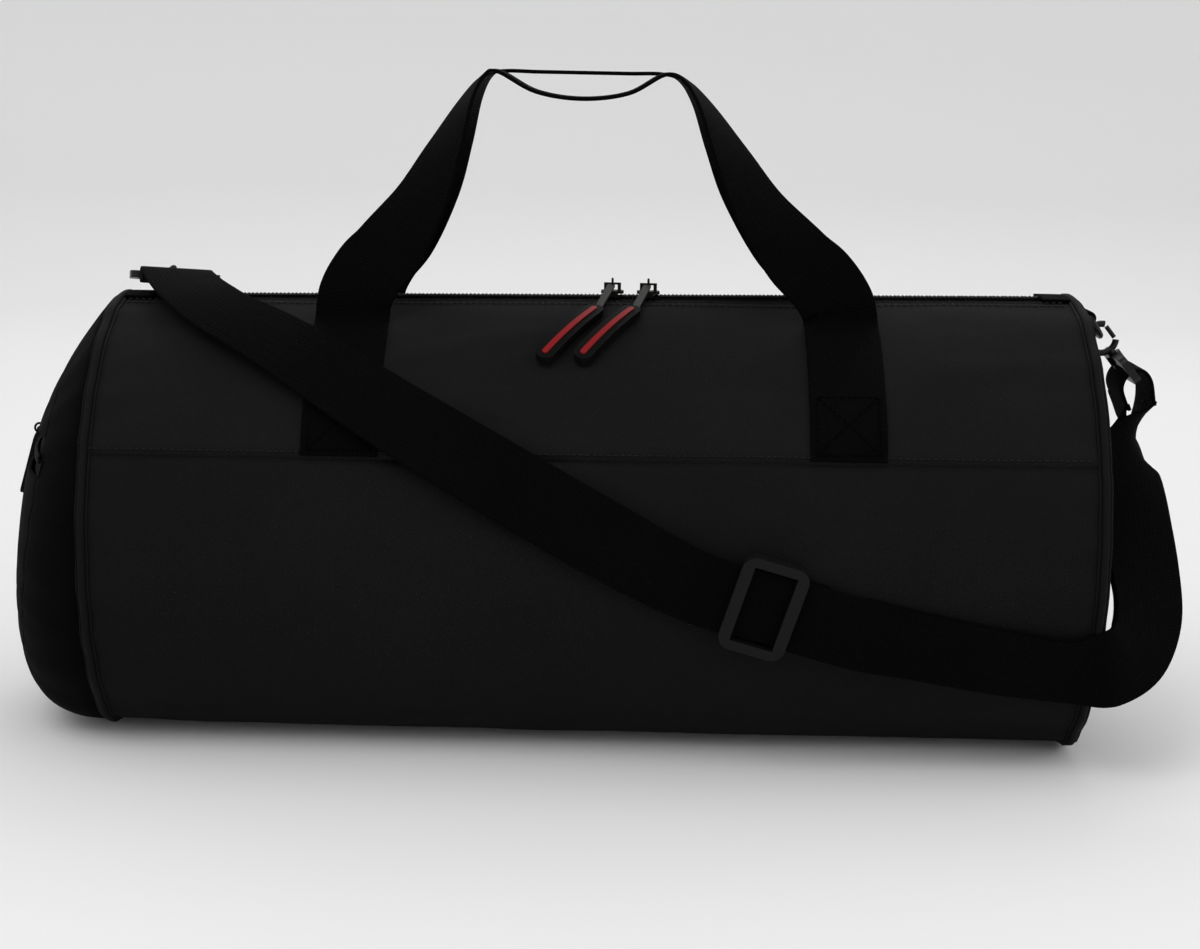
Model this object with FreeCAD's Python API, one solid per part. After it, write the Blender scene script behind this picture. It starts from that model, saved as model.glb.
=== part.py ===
import FreeCAD, Part
import math
import os

V = FreeCAD.Vector

# A barrel duffel bag, in millimetres.  +X runs along the bag, -Y is its front, +Z is up.
# The origin is on the floor, under the middle of the bag.

# ---- body ----
BODY_LENGTH = 500.0
BODY_RADIUS = 118.0
BASE_DROP = 8.0              # how far the round section is flattened where it rests
CLOTH = 2.4                  # outer cloth, foam and lining together
SIDE_SEAM_ANGLE = 66.0       # from the top, where the upper panels meet the lower one
PIPING_WIDTH = 5.0
PIPING_PROUD = 1.5
END_DOME = 8.0               # how far the right end bulges

# ---- end pocket ----
POCKET_DEPTH = 50.0
POCKET_TOP_DEPTH = 5.0
POCKET_BELLY_HEIGHT = 75.0   # the pocket sags, so it is deepest below the axis
POCKET_RIM_REACH = 35.0      # how far inside the seam the rim's sphere is centred
POCKET_FACE_RADIUS = 96.0
POCKET_ZIP_HEIGHT = 150.0

# ---- zips ----
TAPE_HALF_WIDTH = 14.0
POCKET_TAPE_HALF_WIDTH = 9.0
TAPE_THICKNESS = 1.0
TAPE_DEPTH = 0.4             # the tape's face lies this far below the cloth's
COIL_RADIUS = 1.2
COIL_GAP = 1.8               # between the two coils, where the slider's post runs
ZIP_STOP_LENGTH = 14.0
ZIP_STOP_THICKNESS = 1.6

# ---- zip sliders and pulls ----
LEFT_SLIDER_X = 8.0
RIGHT_SLIDER_X = 27.0
SLIDER_LENGTH = 12.0
SLIDER_WIDTH = 9.4
WING_THICKNESS = 1.4
FLANGE_THICKNESS = 0.9
POST_LENGTH = 3.0
POST_THICKNESS = 0.6
BRIDGE_LENGTH = 9.0
BRIDGE_WIDTH = 2.0
BRIDGE_BAR = 1.0
BRIDGE_FOOT = 1.8
PULL_RING_WIRE = 0.6
PULL_RING_BORE = 1.9
PULL_TAB_WIDTH = 4.0
PULL_TAB_THICKNESS = 1.2
PULL_GRIP_WIDTH = 10.0
PULL_GRIP_THICKNESS = 4.0
PULL_GRIP_LIFT = 2.0
PULL_GRIP_START = (-7.0, 17.5)    # offset along the bag from the slider, and angle from the top
PULL_GRIP_END = (-35.5, 40.0)
PULL_TAB_INSET = 4.0
STRIPE_WIDTH = 3.0
STRIPE_PROUD = 0.6
STRIPE_MARGIN = 3.0
POCKET_PULL_LENGTH = 34.0
POCKET_PULL_WIDTH = 8.0

# ---- webbing ----
WEBBING_WIDTH = 38.0
WEBBING = 2.0
WEBBING_CLEARANCE = 0.3
STRAP_LIFT = 6.2             # the strap's centre above the cloth, over a sewn handle foot

# ---- carry handles ----
HANDLE_FOOT_X = 125.0
HANDLE_HINGE_ANGLE = 22.0    # from the top, where the free webbing leaves the body
HANDLE_TOP = 345.0
HANDLE_GRIP_SAG = 13.0       # the front grip hangs this far below its corners
GRIP_LEFT_X = -57.0
GRIP_RIGHT_X = 38.0
GRIP_GAP = 2.0               # between the two grips, edge to edge

# ---- rings and hooks ----
RING_BOW = 12.5
RING_WIRE = 1.6
RING_BAR = 1.8
RING_TAB_WIDTH = 17.0
RING_TAB_THICKNESS = 1.6
EYE_BORE = 6.0
EYE_WIRE = 1.75
EYE_OFFSET = 1.8             # the eye's centre lies this far past the ring's wire
EYE_GAP_ANGLE = 84.0
GATE_INSET = 0.35            # share of the eye's wire by which the gate stops short at each end
GATE_WIRE = 1.2
STEM_RADIUS = 2.2
STEM_CLEARANCE = 0.15
STEM_HEAD_RADIUS = 3.4
STEM_HEAD_LENGTH = 2.0
BOSS_WALL = 2.0
BASE_NEAR = 12.0             # from the ring's wire to the swivel base
BASE_TOP_BAR = 5.0
BASE_SLOT = 7.0
BASE_BAR = 4.0
BASE_SIDE = 4.0
BASE_THICKNESS = 4.0
LOOP_CLEARANCE = 0.5
LOOP_LENGTH = 20.0
# left ring's wire and left end of the strap: inwards from the seam, angle from the top, height over the cloth
LEFT_RING = (15.0, -24.0, 11.5)
LEFT_STRAP_END = (27.0, -3.5, 7.2)
LEFT_CHAIN_FACING = -14.0      # angle from the top that the left hook faces
RIGHT_RING_OUT = 17.0        # right ring's wire past the end seam
RIGHT_RING_DROP = 15.0       # and below the bag's top
RIGHT_CHAIN_WAY = (0.62, 0.0, -0.78)

# ---- strap adjuster ----
ADJUSTER_LENGTH = 34.0
ADJUSTER_BAR = 6.0
ADJUSTER_SIDE = 5.0
ADJUSTER_THICKNESS = 2.6
ADJUSTER_CORNER = 7.0
CENTRE_BAR = 5.0
CENTRE_BAR_THICKNESS = 1.6
ADJUSTER_TAIL = 28.0
ADJUSTER_TAIL_THICKNESS = 1.4
RETURN_GAP = 0.5             # between the strap's two layers

# strap across the front: distance along the bag, angle from the top, slope of the webbing in degrees
FRONT_RUN = [(-216.0, 5.5, 62), (-205.0, 16.0, 58), (-190.0, 25.0, 50), (-168.0, 33.0, 40),
             (-143.0, 41.8, 36), (-103.0, 55.0, 32), (-50.0, 69.8, 29), (2.0, 83.2, 27)]
# straight stretch that the adjuster slides on: distance along the bag, angle from the top
STRAIGHT_RUN = [(50.0, 94.5), (132.0, 105.6)]
# doubled strap on the bag past the adjuster: as FRONT_RUN, and how much higher it lies
RIGHT_LYING = [(164.0, 109.0, 10, 0), (202.0, 112.4, 7, 1), (238.0, 114.0, 2, 3)]
# strap standing free past the right end: its middle, and the direction of its width
RIGHT_FREE = [((258, -119, 62), (0.10, 0.05, 0.99)), ((272, -110, 70), (-0.45, 0.15, 0.88)),
              ((280, -92, 86), (-0.80, 0.10, 0.55)), ((281, -70, 106), (-0.96, 0.0, 0.25)),
              ((281, -44, 128), (-1.0, -0.15, 0.1)), ((282, -22, 147), (-0.85, -0.5, 0.0)),
              ((286, -8, 161), (-0.45, -0.9, 0.0))]
# right loop round the swivel base's bar: distances along the bag and upwards from the bar
RIGHT_LOOP = [(10, -17), (10, -8), (8, 0), (3.6, 4.2), (-2.4, 3.05), (-5.6, -0.9), (-6.5, -6), (-4.5, -12),
              (-1.5, -19), (0.2, -23)]

AXIS_HEIGHT = BODY_RADIUS - BASE_DROP
BODY_TOP = AXIS_HEIGHT + BODY_RADIUS
HALF_LENGTH = BODY_LENGTH / 2
SEAM_IN = HALF_LENGTH - PIPING_WIDTH / 2
SEAM_OUT = HALF_LENGTH + PIPING_WIDTH / 2
FAR = 4 * BODY_LENGTH
TOP_OF_COIL = 2 * COIL_RADIUS - TAPE_DEPTH
RUN = 0.5                    # running clearance round a slider


def save(name, shape):
    """Write one node."""
    shape.exportStep("parts/" + name + ".step")


def on_barrel(x, angle, radius):
    """Point at x, turned from the top towards the front, at a radius from the bag's axis."""
    turn = math.radians(angle)
    return V(x, -radius * math.sin(turn), AXIS_HEIGHT + radius * math.cos(turn))


def outward(angle):
    """Unit vector away from the bag's axis, at an angle from the top towards the front."""
    turn = math.radians(angle)
    return V(0, -math.sin(turn), math.cos(turn))


def above(height):
    """Everything above a height."""
    return Part.makeBox(2 * FAR, 2 * FAR, FAR, V(-FAR, -FAR, height))


def barrel(inset, start, end):
    """Solid of the bag's section, inset all round, between two stations."""
    rod = Part.makeCylinder(BODY_RADIUS - inset, end - start, V(start, 0, AXIS_HEIGHT), V(1, 0, 0))
    return rod.common(above(max(inset, 0)))


def sector(low, high, start, end):
    """Wedge about the bag's axis between two angles and two stations."""
    steps = max(2, int(math.ceil(abs(high - low) / 30)))
    rim = [on_barrel(start, low + (high - low) * i / steps, 2 * BODY_RADIUS) for i in range(steps + 1)]
    hub = V(start, 0, AXIS_HEIGHT)
    return Part.Face(Part.makePolygon([hub] + rim + [hub])).extrude(V(end - start, 0, 0))


def frame_at(origin, along, normal):
    """Placement whose x axis is along and whose z axis is the normal made square to it."""
    x_axis = V(along).normalize()
    y_axis = V(normal).cross(x_axis).normalize()
    z_axis = x_axis.cross(y_axis)
    turn = FreeCAD.Rotation(x_axis, y_axis, z_axis, "ZXY")
    return FreeCAD.Placement(origin, turn)


def box(low, high):
    """Box between two corners, given as lists."""
    return Part.makeBox(high[0] - low[0], high[1] - low[1], high[2] - low[2], V(*low))


def rounded_plate(length, width, low, high, corner):
    """Plate centred on the z axis, with round corners, between two heights."""
    corner = min(corner, 0.49 * min(length, width))
    plate = box([-length / 2, -width / 2, low], [length / 2, width / 2, high])
    upright = [e for e in plate.Edges if abs(e.tangentAt(e.FirstParameter).z) > 0.9]
    return plate.makeFillet(corner, upright)


def ribbon(stations, thickness=WEBBING, width=WEBBING_WIDTH):
    """Flat webbing through stations, each a centre point and the direction of its width."""
    rings = []
    last = len(stations) - 1
    for i, (centre, across) in enumerate(stations):
        ahead = stations[min(i + 1, last)][0]
        behind = stations[max(i - 1, 0)][0]
        tangent = ahead.sub(behind).normalize()
        across = across.sub(tangent * across.dot(tangent)).normalize()
        face = tangent.cross(across)
        side = across * (width / 2)
        rise = face * (thickness / 2)
        rings.append([centre + side + rise, centre - side + rise, centre - side - rise, centre + side - rise])
    triangles = [(rings[0][0], rings[0][1], rings[0][2]), (rings[0][0], rings[0][2], rings[0][3])]
    triangles += [(rings[-1][0], rings[-1][2], rings[-1][1]), (rings[-1][0], rings[-1][3], rings[-1][2])]
    for near, far in zip(rings, rings[1:]):
        for k in range(4):
            after = (k + 1) % 4
            triangles.append((near[k], far[k], near[after]))
            triangles.append((near[after], far[k], far[after]))
    faces = [Part.Face(Part.makePolygon([a, c, b, a])) for a, b, c in triangles]
    shell = Part.makeShell(faces)
    shell.sewShape()
    return Part.makeSolid(shell)


def shifted(stations, distance):
    """The same stations, moved along the webbing's own face normal."""
    moved = []
    last = len(stations) - 1
    for i, (centre, across) in enumerate(stations):
        tangent = stations[min(i + 1, last)][0].sub(stations[max(i - 1, 0)][0]).normalize()
        moved.append((centre + tangent.cross(across).normalize() * distance, across))
    return moved


# ---------------------------------------------------------------- body shell

def body_shell():
    """Hollow barrel of cloth between the two end seams."""
    return barrel(0, -SEAM_IN, SEAM_IN).cut(barrel(CLOTH, -SEAM_IN - 1, SEAM_IN + 1))


def body_panels():
    """Lower panel and the two upper panels, which leave the zip's width open."""
    shell = body_shell()
    tape_edge = math.degrees(TAPE_HALF_WIDTH / BODY_RADIUS)
    spans = {
        "lower_panel": (SIDE_SEAM_ANGLE, 360 - SIDE_SEAM_ANGLE),
        "front_upper_panel": (tape_edge, SIDE_SEAM_ANGLE),
        "back_upper_panel": (-SIDE_SEAM_ANGLE, -tape_edge),
    }
    for name, (low, high) in spans.items():
        save(name, shell.common(sector(low, high, -HALF_LENGTH, HALF_LENGTH)))


def end_seams():
    """Piping round both ends, the divider of the end pocket, and the domed right end."""
    for name, x in (("left_piping", -HALF_LENGTH), ("right_piping", HALF_LENGTH)):
        start, end = x - PIPING_WIDTH / 2, x + PIPING_WIDTH / 2
        save(name, barrel(-PIPING_PROUD, start, end).cut(barrel(CLOTH, start - 1, end + 1)))
    divider = barrel(CLOTH, -SEAM_OUT, -SEAM_IN)
    save("pocket_divider", divider.common(box([-SEAM_OUT, -FAR, 0], [-SEAM_OUT + CLOTH, FAR, FAR])))
    radius = (BODY_RADIUS ** 2 + END_DOME ** 2) / (2 * END_DOME)
    centre = V(SEAM_OUT + END_DOME - radius, 0, AXIS_HEIGHT)
    skin = Part.makeSphere(radius, centre).cut(Part.makeSphere(radius - CLOTH, centre))
    rim = barrel(0, SEAM_OUT, SEAM_OUT + CLOTH).cut(barrel(CLOTH, SEAM_OUT - 1, SEAM_OUT + CLOTH + 1))
    save("right_end_panel", skin.common(barrel(0, SEAM_OUT, SEAM_OUT + END_DOME)).fuse(rim).removeSplitter())


# ---------------------------------------------------------------- end pocket

def pocket_dome():
    """Centre and radius of the sphere that the pocket's face is part of."""
    rise = BODY_TOP - POCKET_BELLY_HEIGHT
    drop = POCKET_DEPTH - POCKET_TOP_DEPTH
    radius = (rise ** 2 + drop ** 2) / (2 * drop)
    return V(-HALF_LENGTH - POCKET_DEPTH + radius, 0, POCKET_BELLY_HEIGHT), radius


def pocket_form(inset):
    """Puffed form of the pocket: a wide dome rounded off by a smaller sphere at its rim."""
    centre, radius = pocket_dome()
    rim_x = -HALF_LENGTH + POCKET_RIM_REACH
    rim_radius = math.hypot(BODY_RADIUS, SEAM_OUT - HALF_LENGTH + POCKET_RIM_REACH)
    form = Part.makeSphere(radius - inset, centre)
    form = form.common(Part.makeSphere(rim_radius - inset, V(rim_x, 0, AXIS_HEIGHT)))
    return form.common(box([-FAR, -FAR, inset], [-SEAM_OUT, FAR, FAR]))


def pocket():
    """Gusset, two face panels, and the zip between them, which runs round the dome's upright axis."""
    shell = pocket_form(0).cut(pocket_form(CLOTH))
    core = Part.makeCylinder(POCKET_FACE_RADIUS, FAR, V(-FAR, 0, AXIS_HEIGHT), V(1, 0, 0))
    save("pocket_gusset", shell.cut(core))
    face = shell.common(core)
    top = POCKET_ZIP_HEIGHT + POCKET_TAPE_HALF_WIDTH
    bottom = POCKET_ZIP_HEIGHT - POCKET_TAPE_HALF_WIDTH
    save("pocket_upper_face", face.common(above(top)))
    save("pocket_lower_face", face.cut(above(bottom)))
    centre, radius = pocket_dome()
    skin = Part.makeSphere(radius - TAPE_DEPTH, centre)
    skin = skin.cut(Part.makeSphere(radius - TAPE_DEPTH - TAPE_THICKNESS, centre)).common(core)
    skin = skin.common(box([-FAR, -FAR, 0], [-SEAM_OUT, FAR, FAR]))
    half_gap = COIL_GAP / 2
    upper = skin.common(box([-FAR, -FAR, POCKET_ZIP_HEIGHT + half_gap], [0, FAR, top]))
    lower = skin.common(box([-FAR, -FAR, bottom], [0, FAR, POCKET_ZIP_HEIGHT - half_gap]))
    save("pocket_zip_tapes", Part.makeCompound([upper, lower]))
    coils = []
    for side in (-1, 1):
        height = POCKET_ZIP_HEIGHT + side * (half_gap + COIL_RADIUS)
        reach = math.sqrt((radius + COIL_RADIUS - TAPE_DEPTH) ** 2 - (height - centre.z) ** 2)
        ring = Part.makeTorus(reach, COIL_RADIUS, V(centre.x, 0, height), V(0, 0, 1))
        coils.append(ring.common(core).common(box([-FAR, -FAR, 0], [-SEAM_OUT, FAR, FAR])))
    save("pocket_zip_coils", Part.makeCompound(coils))


def pocket_slider():
    """Slider and pull on the pocket's zip, drawn at the middle of its run."""
    centre, radius = pocket_dome()
    tilt = math.asin((POCKET_ZIP_HEIGHT - centre.z) / radius)
    normal = V(-math.cos(tilt), 0, math.sin(tilt))
    place = frame_at(centre + normal * radius, V(0, 1, 0), normal)
    slider = slider_solid()
    slider.Placement = place
    save("pocket_slider", slider)
    hang = V(0, 1, 0)
    ring_centre = V(0, 0, pull_axis_height())
    ring = Part.makeTorus(PULL_RING_BORE + PULL_RING_WIRE, PULL_RING_WIRE, ring_centre, V(1, 0, 0))
    start = PULL_RING_BORE + 1.5 * PULL_RING_WIRE
    tab = rounded_plate(POCKET_PULL_WIDTH, POCKET_PULL_LENGTH, -PULL_TAB_THICKNESS, PULL_TAB_THICKNESS,
                        POCKET_PULL_WIDTH / 2)
    tab.translate(hang * (start + POCKET_PULL_LENGTH / 2) + V(0, 0, pull_axis_height()))
    pull = ring.fuse(tab)
    pull.Placement = place
    save("pocket_pull", pull)


# ---------------------------------------------------------------- main zip

def zip_strip(inner, outer, low, high, start, end):
    """Piece of a round shell at the top of the bag, between two distances from the zip's line."""
    skin = Part.makeCylinder(outer, end - start, V(start, 0, AXIS_HEIGHT), V(1, 0, 0))
    skin = skin.cut(Part.makeCylinder(inner, end - start, V(start, 0, AXIS_HEIGHT), V(1, 0, 0)))
    edges = [math.degrees(d / BODY_RADIUS) for d in (low, high)]
    return skin.common(sector(edges[0], edges[1], start, end))


def main_zip():
    """Two tapes, two coils and a stop tab over each end."""
    outer = BODY_RADIUS - TAPE_DEPTH
    inner = outer - TAPE_THICKNESS
    gap = COIL_GAP / 2
    for name, low, high in (("front_zip_tape", gap, TAPE_HALF_WIDTH),
                            ("back_zip_tape", -TAPE_HALF_WIDTH, -gap)):
        save(name, zip_strip(inner, outer, low, high, -SEAM_IN, SEAM_IN))
    coil_end = SEAM_IN - ZIP_STOP_LENGTH
    for name, side in (("front_zip_coil", -1), ("back_zip_coil", 1)):
        centre = V(-coil_end, side * (gap + COIL_RADIUS), BODY_TOP - TAPE_DEPTH + COIL_RADIUS)
        save(name, Part.makeCylinder(COIL_RADIUS, 2 * coil_end, centre, V(1, 0, 0)))
    for name, start in (("left_zip_stop", -SEAM_IN), ("right_zip_stop", coil_end)):
        stop = zip_strip(BODY_RADIUS, BODY_RADIUS + ZIP_STOP_THICKNESS, -TAPE_HALF_WIDTH, TAPE_HALF_WIDTH,
                         start, start + ZIP_STOP_LENGTH)
        save(name, stop)


def pull_axis_height():
    """Height of the bridge's bar centre above the cloth."""
    wing_top = TOP_OF_COIL + RUN + WING_THICKNESS
    return wing_top + PULL_RING_BORE + 2 * PULL_RING_WIRE + RUN


def slider_solid():
    """Slider about the zip's line: two wings, a post between the coils, flanges and a bridge."""
    half_length = SLIDER_LENGTH / 2
    half_width = SLIDER_WIDTH / 2
    wing_low = TOP_OF_COIL + RUN
    wing_top = wing_low + WING_THICKNESS
    under = -TAPE_DEPTH - TAPE_THICKNESS - RUN
    corner = SLIDER_WIDTH / 3
    body = rounded_plate(SLIDER_LENGTH, SLIDER_WIDTH, wing_low, wing_top, corner)
    body = body.fuse(rounded_plate(SLIDER_LENGTH, SLIDER_WIDTH, under - WING_THICKNESS, under, corner))
    post = box([-POST_LENGTH / 2, -POST_THICKNESS / 2, under - WING_THICKNESS / 2],
               [POST_LENGTH / 2, POST_THICKNESS / 2, wing_low + WING_THICKNESS / 2])
    body = body.fuse(post)
    for side in (-1, 1):
        edges = sorted([side * half_width, side * (half_width - FLANGE_THICKNESS)])
        flange = box([-half_length + corner, edges[0], RUN], [half_length - corner, edges[1], wing_top])
        body = body.fuse(flange)
    bar_centre = pull_axis_height()
    bar_top = bar_centre + BRIDGE_BAR / 2
    bridge = box([-BRIDGE_LENGTH / 2, -BRIDGE_WIDTH / 2, wing_top],
                 [BRIDGE_LENGTH / 2, BRIDGE_WIDTH / 2, bar_top])
    window = box([-BRIDGE_LENGTH / 2 + BRIDGE_FOOT, -BRIDGE_WIDTH, wing_top],
                 [BRIDGE_LENGTH / 2 - BRIDGE_FOOT, BRIDGE_WIDTH, bar_top - BRIDGE_BAR])
    return body.fuse(bridge.cut(window)).removeSplitter()


def pull_patch(x, low, high, width, inner, outer):
    """Rounded bar that lies along the bag's surface, between two radii and two ends of its line."""
    ends = [on_barrel(x + low[0], low[1], BODY_RADIUS), on_barrel(x + high[0], high[1], BODY_RADIUS)]
    middle = (ends[0] + ends[1]) * 0.5
    normal = outward((low[1] + high[1]) / 2)
    length = ends[1].sub(ends[0]).Length
    plate = rounded_plate(length, width, -BODY_RADIUS / 2, BODY_RADIUS / 2, width / 2)
    plate.Placement = frame_at(middle, ends[1].sub(ends[0]), normal)
    start = V(-FAR / 2, 0, AXIS_HEIGHT)
    skin = Part.makeCylinder(outer, FAR, start, V(1, 0, 0))
    skin = skin.cut(Part.makeCylinder(inner, FAR, start, V(1, 0, 0)))
    return plate.common(skin)


def main_slider(side, x):
    """Slider, metal tab, moulded grip and its coloured stripe, with the pull lying over the front."""
    place = FreeCAD.Placement(V(x, 0, BODY_TOP), FreeCAD.Rotation())
    slider = slider_solid()
    slider.Placement = place
    save(side + "_slider", slider)
    inner = BODY_RADIUS + PULL_GRIP_LIFT
    outer = inner + PULL_GRIP_THICKNESS
    grip = pull_patch(x, PULL_GRIP_START, PULL_GRIP_END, PULL_GRIP_WIDTH, inner, outer)
    hinge = V(x, 0, BODY_TOP + pull_axis_height())
    entry = on_barrel(x + PULL_GRIP_START[0], PULL_GRIP_START[1], (inner + outer) / 2)
    line = entry.sub(hinge)
    start = PULL_RING_BORE + 1.5 * PULL_RING_WIRE
    length = line.Length + PULL_TAB_INSET - start
    tab = rounded_plate(length, PULL_TAB_WIDTH, -PULL_TAB_THICKNESS / 2, PULL_TAB_THICKNESS / 2,
                        PULL_TAB_THICKNESS)
    tab.translate(V(start + length / 2, 0, 0))
    tab.Placement = frame_at(hinge, line, V(0, 0, 1)).multiply(tab.Placement)
    ring = Part.makeTorus(PULL_RING_BORE + PULL_RING_WIRE, PULL_RING_WIRE, hinge, V(1, 0, 0))
    tab = tab.fuse(ring)
    save(side + "_pull_tab", tab)
    save(side + "_pull_grip", grip.cut(tab))
    span = [PULL_GRIP_END[i] - PULL_GRIP_START[i] for i in (0, 1)]
    inset = STRIPE_MARGIN / math.hypot(span[0], math.radians(span[1]) * BODY_RADIUS)
    low = [PULL_GRIP_START[i] + inset * span[i] for i in (0, 1)]
    high = [PULL_GRIP_END[i] - inset * span[i] for i in (0, 1)]
    save(side + "_pull_stripe", pull_patch(x, low, high, STRIPE_WIDTH, outer, outer + STRIPE_PROUD))


# ---------------------------------------------------------------- carry handles

def handle_foot(x, side):
    """Webbing sewn to an upper panel, from the side seam up to where the handle leaves it."""
    inner = BODY_RADIUS
    outer = BODY_RADIUS + WEBBING
    start = x - WEBBING_WIDTH / 2
    skin = Part.makeCylinder(outer, WEBBING_WIDTH, V(start, 0, AXIS_HEIGHT), V(1, 0, 0))
    skin = skin.cut(Part.makeCylinder(inner, WEBBING_WIDTH, V(start, 0, AXIS_HEIGHT), V(1, 0, 0)))
    slack = math.degrees(WEBBING_CLEARANCE / BODY_RADIUS)
    low, high = sorted([side * (HANDLE_HINGE_ANGLE + slack), side * SIDE_SEAM_ANGLE])
    return skin.common(sector(low, high, start, start + WEBBING_WIDTH))


def handle_hinge():
    """Point on the line that the front handle turns about."""
    return on_barrel(0, HANDLE_HINGE_ANGLE, BODY_RADIUS + WEBBING / 2)


def handle_leg(foot_x, corner_x):
    """Stations up one leg of the front handle, where the webbing turns from facing front to facing up."""
    hinge = handle_hinge()
    rise = HANDLE_TOP - hinge.z
    reach = corner_x - foot_x
    grip_y = -(GRIP_GAP + WEBBING_WIDTH) / 2
    way = math.copysign(1, reach)
    # share of the rise, share of the reach, share of the lean, turn of the width in degrees
    shape = [(0.03, 0.0, 0.0, 0), (0.09, 0.0, 0.0, 0), (0.19, 0.13, 0.05, 4), (0.28, 0.27, 0.12, 10),
             (0.48, 0.50, 0.32, 38),
             (0.68, 0.66, 0.55, 58), (0.86, 0.80, 0.80, 76), (0.97, 0.93, 0.95, 86), (1.0, 1.06, 1.0, 90)]
    stations = []
    for up, along, lean, turn in shape:
        point = V(foot_x + reach * along, hinge.y + (grip_y - hinge.y) * lean, hinge.z + rise * up)
        angle = math.radians(turn)
        stations.append((point, V(math.cos(angle), -way * math.sin(angle), 0)))
    return stations


def handle_loop(sag):
    """Free webbing of the front handle, with its grip hanging down by sag."""
    left = handle_leg(-HANDLE_FOOT_X, GRIP_LEFT_X)
    right = handle_leg(HANDLE_FOOT_X, GRIP_RIGHT_X)
    grip_y = -(GRIP_GAP + WEBBING_WIDTH) / 2
    middle = []
    for share in (0.3, 0.5, 0.7):
        x = GRIP_LEFT_X + (GRIP_RIGHT_X - GRIP_LEFT_X) * share
        drop = sag * (1 - (2 * share - 1) ** 2)
        middle.append((V(x, grip_y, HANDLE_TOP - drop), V(0, -1, 0)))
    right = [(point, across * -1) for point, across in reversed(right)]
    return ribbon(left + middle + right)


def handles():
    """Front and back handles, each free loop apart from its two sewn feet."""
    for name, side in (("front", 1), ("back", -1)):
        save(name + "_left_foot", handle_foot(-HANDLE_FOOT_X, side))
        save(name + "_right_foot", handle_foot(HANDLE_FOOT_X, side))
    save("front_handle", handle_loop(HANDLE_GRIP_SAG))
    save("back_handle", handle_loop(0.0).mirror(V(0, 0, 0), V(0, 1, 0)))


# ---------------------------------------------------------------- rings and hooks

def left_chain():
    """Frame of the left ring and hook: origin on the ring's wire, x axis towards the strap."""
    inwards, angle, height = LEFT_RING
    contact = on_barrel(-HALF_LENGTH + inwards, angle, BODY_RADIUS + height)
    inwards, angle, height = LEFT_STRAP_END
    strap_end = on_barrel(-HALF_LENGTH + inwards, angle, BODY_RADIUS + height)
    return frame_at(contact, strap_end.sub(contact), outward(LEFT_CHAIN_FACING))


def right_chain():
    """Frame of the right ring and hook."""
    contact = V(HALF_LENGTH + RIGHT_RING_OUT, 0, BODY_TOP - RIGHT_RING_DROP)
    return frame_at(contact, V(*RIGHT_CHAIN_WAY), V(-RIGHT_CHAIN_WAY[2], 0, RIGHT_CHAIN_WAY[0]))


def chain_parts(side, chain):
    """Ring, hook, gate and swivel base, laid out along the chain's x axis."""
    bow = Part.makeTorus(RING_BOW, RING_WIRE, V(-RING_BOW, 0, 0), V(0, 0, 1))
    bow = bow.common(box([-RING_BOW, -FAR, -FAR], [FAR, FAR, FAR]))
    half_bar = RING_BOW + RING_BAR
    bar = Part.makeCylinder(RING_BAR, 2 * half_bar, V(-RING_BOW, -half_bar, 0), V(0, 1, 0))
    eye_radius = EYE_BORE + EYE_WIRE
    eye = Part.makeTorus(eye_radius, EYE_WIRE, V(EYE_OFFSET, 0, 0), V(0, 1, 0))
    half_gap = math.radians(EYE_GAP_ANGLE / 2)
    reach = 3 * eye_radius
    gap = Part.Face(Part.makePolygon([
        V(EYE_OFFSET, -reach, 0),
        V(EYE_OFFSET - reach * math.sin(half_gap), -reach, reach * math.cos(half_gap)),
        V(EYE_OFFSET + reach * math.sin(half_gap), -reach, reach * math.cos(half_gap)),
        V(EYE_OFFSET, -reach, 0),
    ])).extrude(V(0, 2 * reach, 0))
    eye = eye.cut(gap)
    stem_start = EYE_OFFSET + eye_radius
    head = BASE_NEAR + BASE_TOP_BAR + RUN
    stem_length = head + STEM_HEAD_LENGTH - stem_start
    stem = Part.makeCylinder(STEM_RADIUS, stem_length, V(stem_start, 0, 0), V(1, 0, 0))
    knob = Part.makeCylinder(STEM_HEAD_RADIUS, STEM_HEAD_LENGTH, V(head, 0, 0), V(1, 0, 0))
    hook = eye.fuse(stem).fuse(knob)
    ends = [V(EYE_OFFSET + s * eye_radius * math.sin(half_gap), 0, eye_radius * math.cos(half_gap))
            for s in (-1, 1)]
    gate_line = ends[0].sub(ends[1])
    trim = 2 * RUN + EYE_WIRE * GATE_INSET
    unit = V(gate_line).normalize()
    gate = Part.makeCylinder(GATE_WIRE, gate_line.Length - 2 * trim, ends[1] + unit * trim, unit)
    width = WEBBING_WIDTH + 2 * (BASE_SIDE + 1)
    depth = BASE_TOP_BAR + BASE_SLOT + BASE_BAR
    base = rounded_plate(depth, width, -BASE_THICKNESS / 2, BASE_THICKNESS / 2, BASE_BAR)
    base.translate(V(BASE_NEAR + depth / 2, 0, 0))
    half_slot = width / 2 - BASE_SIDE
    slot_start = BASE_NEAR + BASE_TOP_BAR
    base = base.cut(box([slot_start, -half_slot, -BASE_THICKNESS],
                        [slot_start + BASE_SLOT, half_slot, BASE_THICKNESS]))
    bore_start = V(BASE_NEAR - 1, 0, 0)
    bore = Part.makeCylinder(STEM_RADIUS + STEM_CLEARANCE, BASE_TOP_BAR + 2, bore_start, V(1, 0, 0))
    boss = Part.makeCylinder(STEM_RADIUS + BOSS_WALL, BASE_TOP_BAR, V(BASE_NEAR, 0, 0), V(1, 0, 0))
    pieces = {
        side + "_ring": bow.fuse(bar),
        side + "_hook": hook.removeSplitter(),
        side + "_hook_gate": gate,
        side + "_swivel_base": base.fuse(boss).cut(bore).removeSplitter(),
    }
    for name, shape in pieces.items():
        shape.Placement = chain.multiply(shape.Placement)
        save(name, shape)


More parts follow.
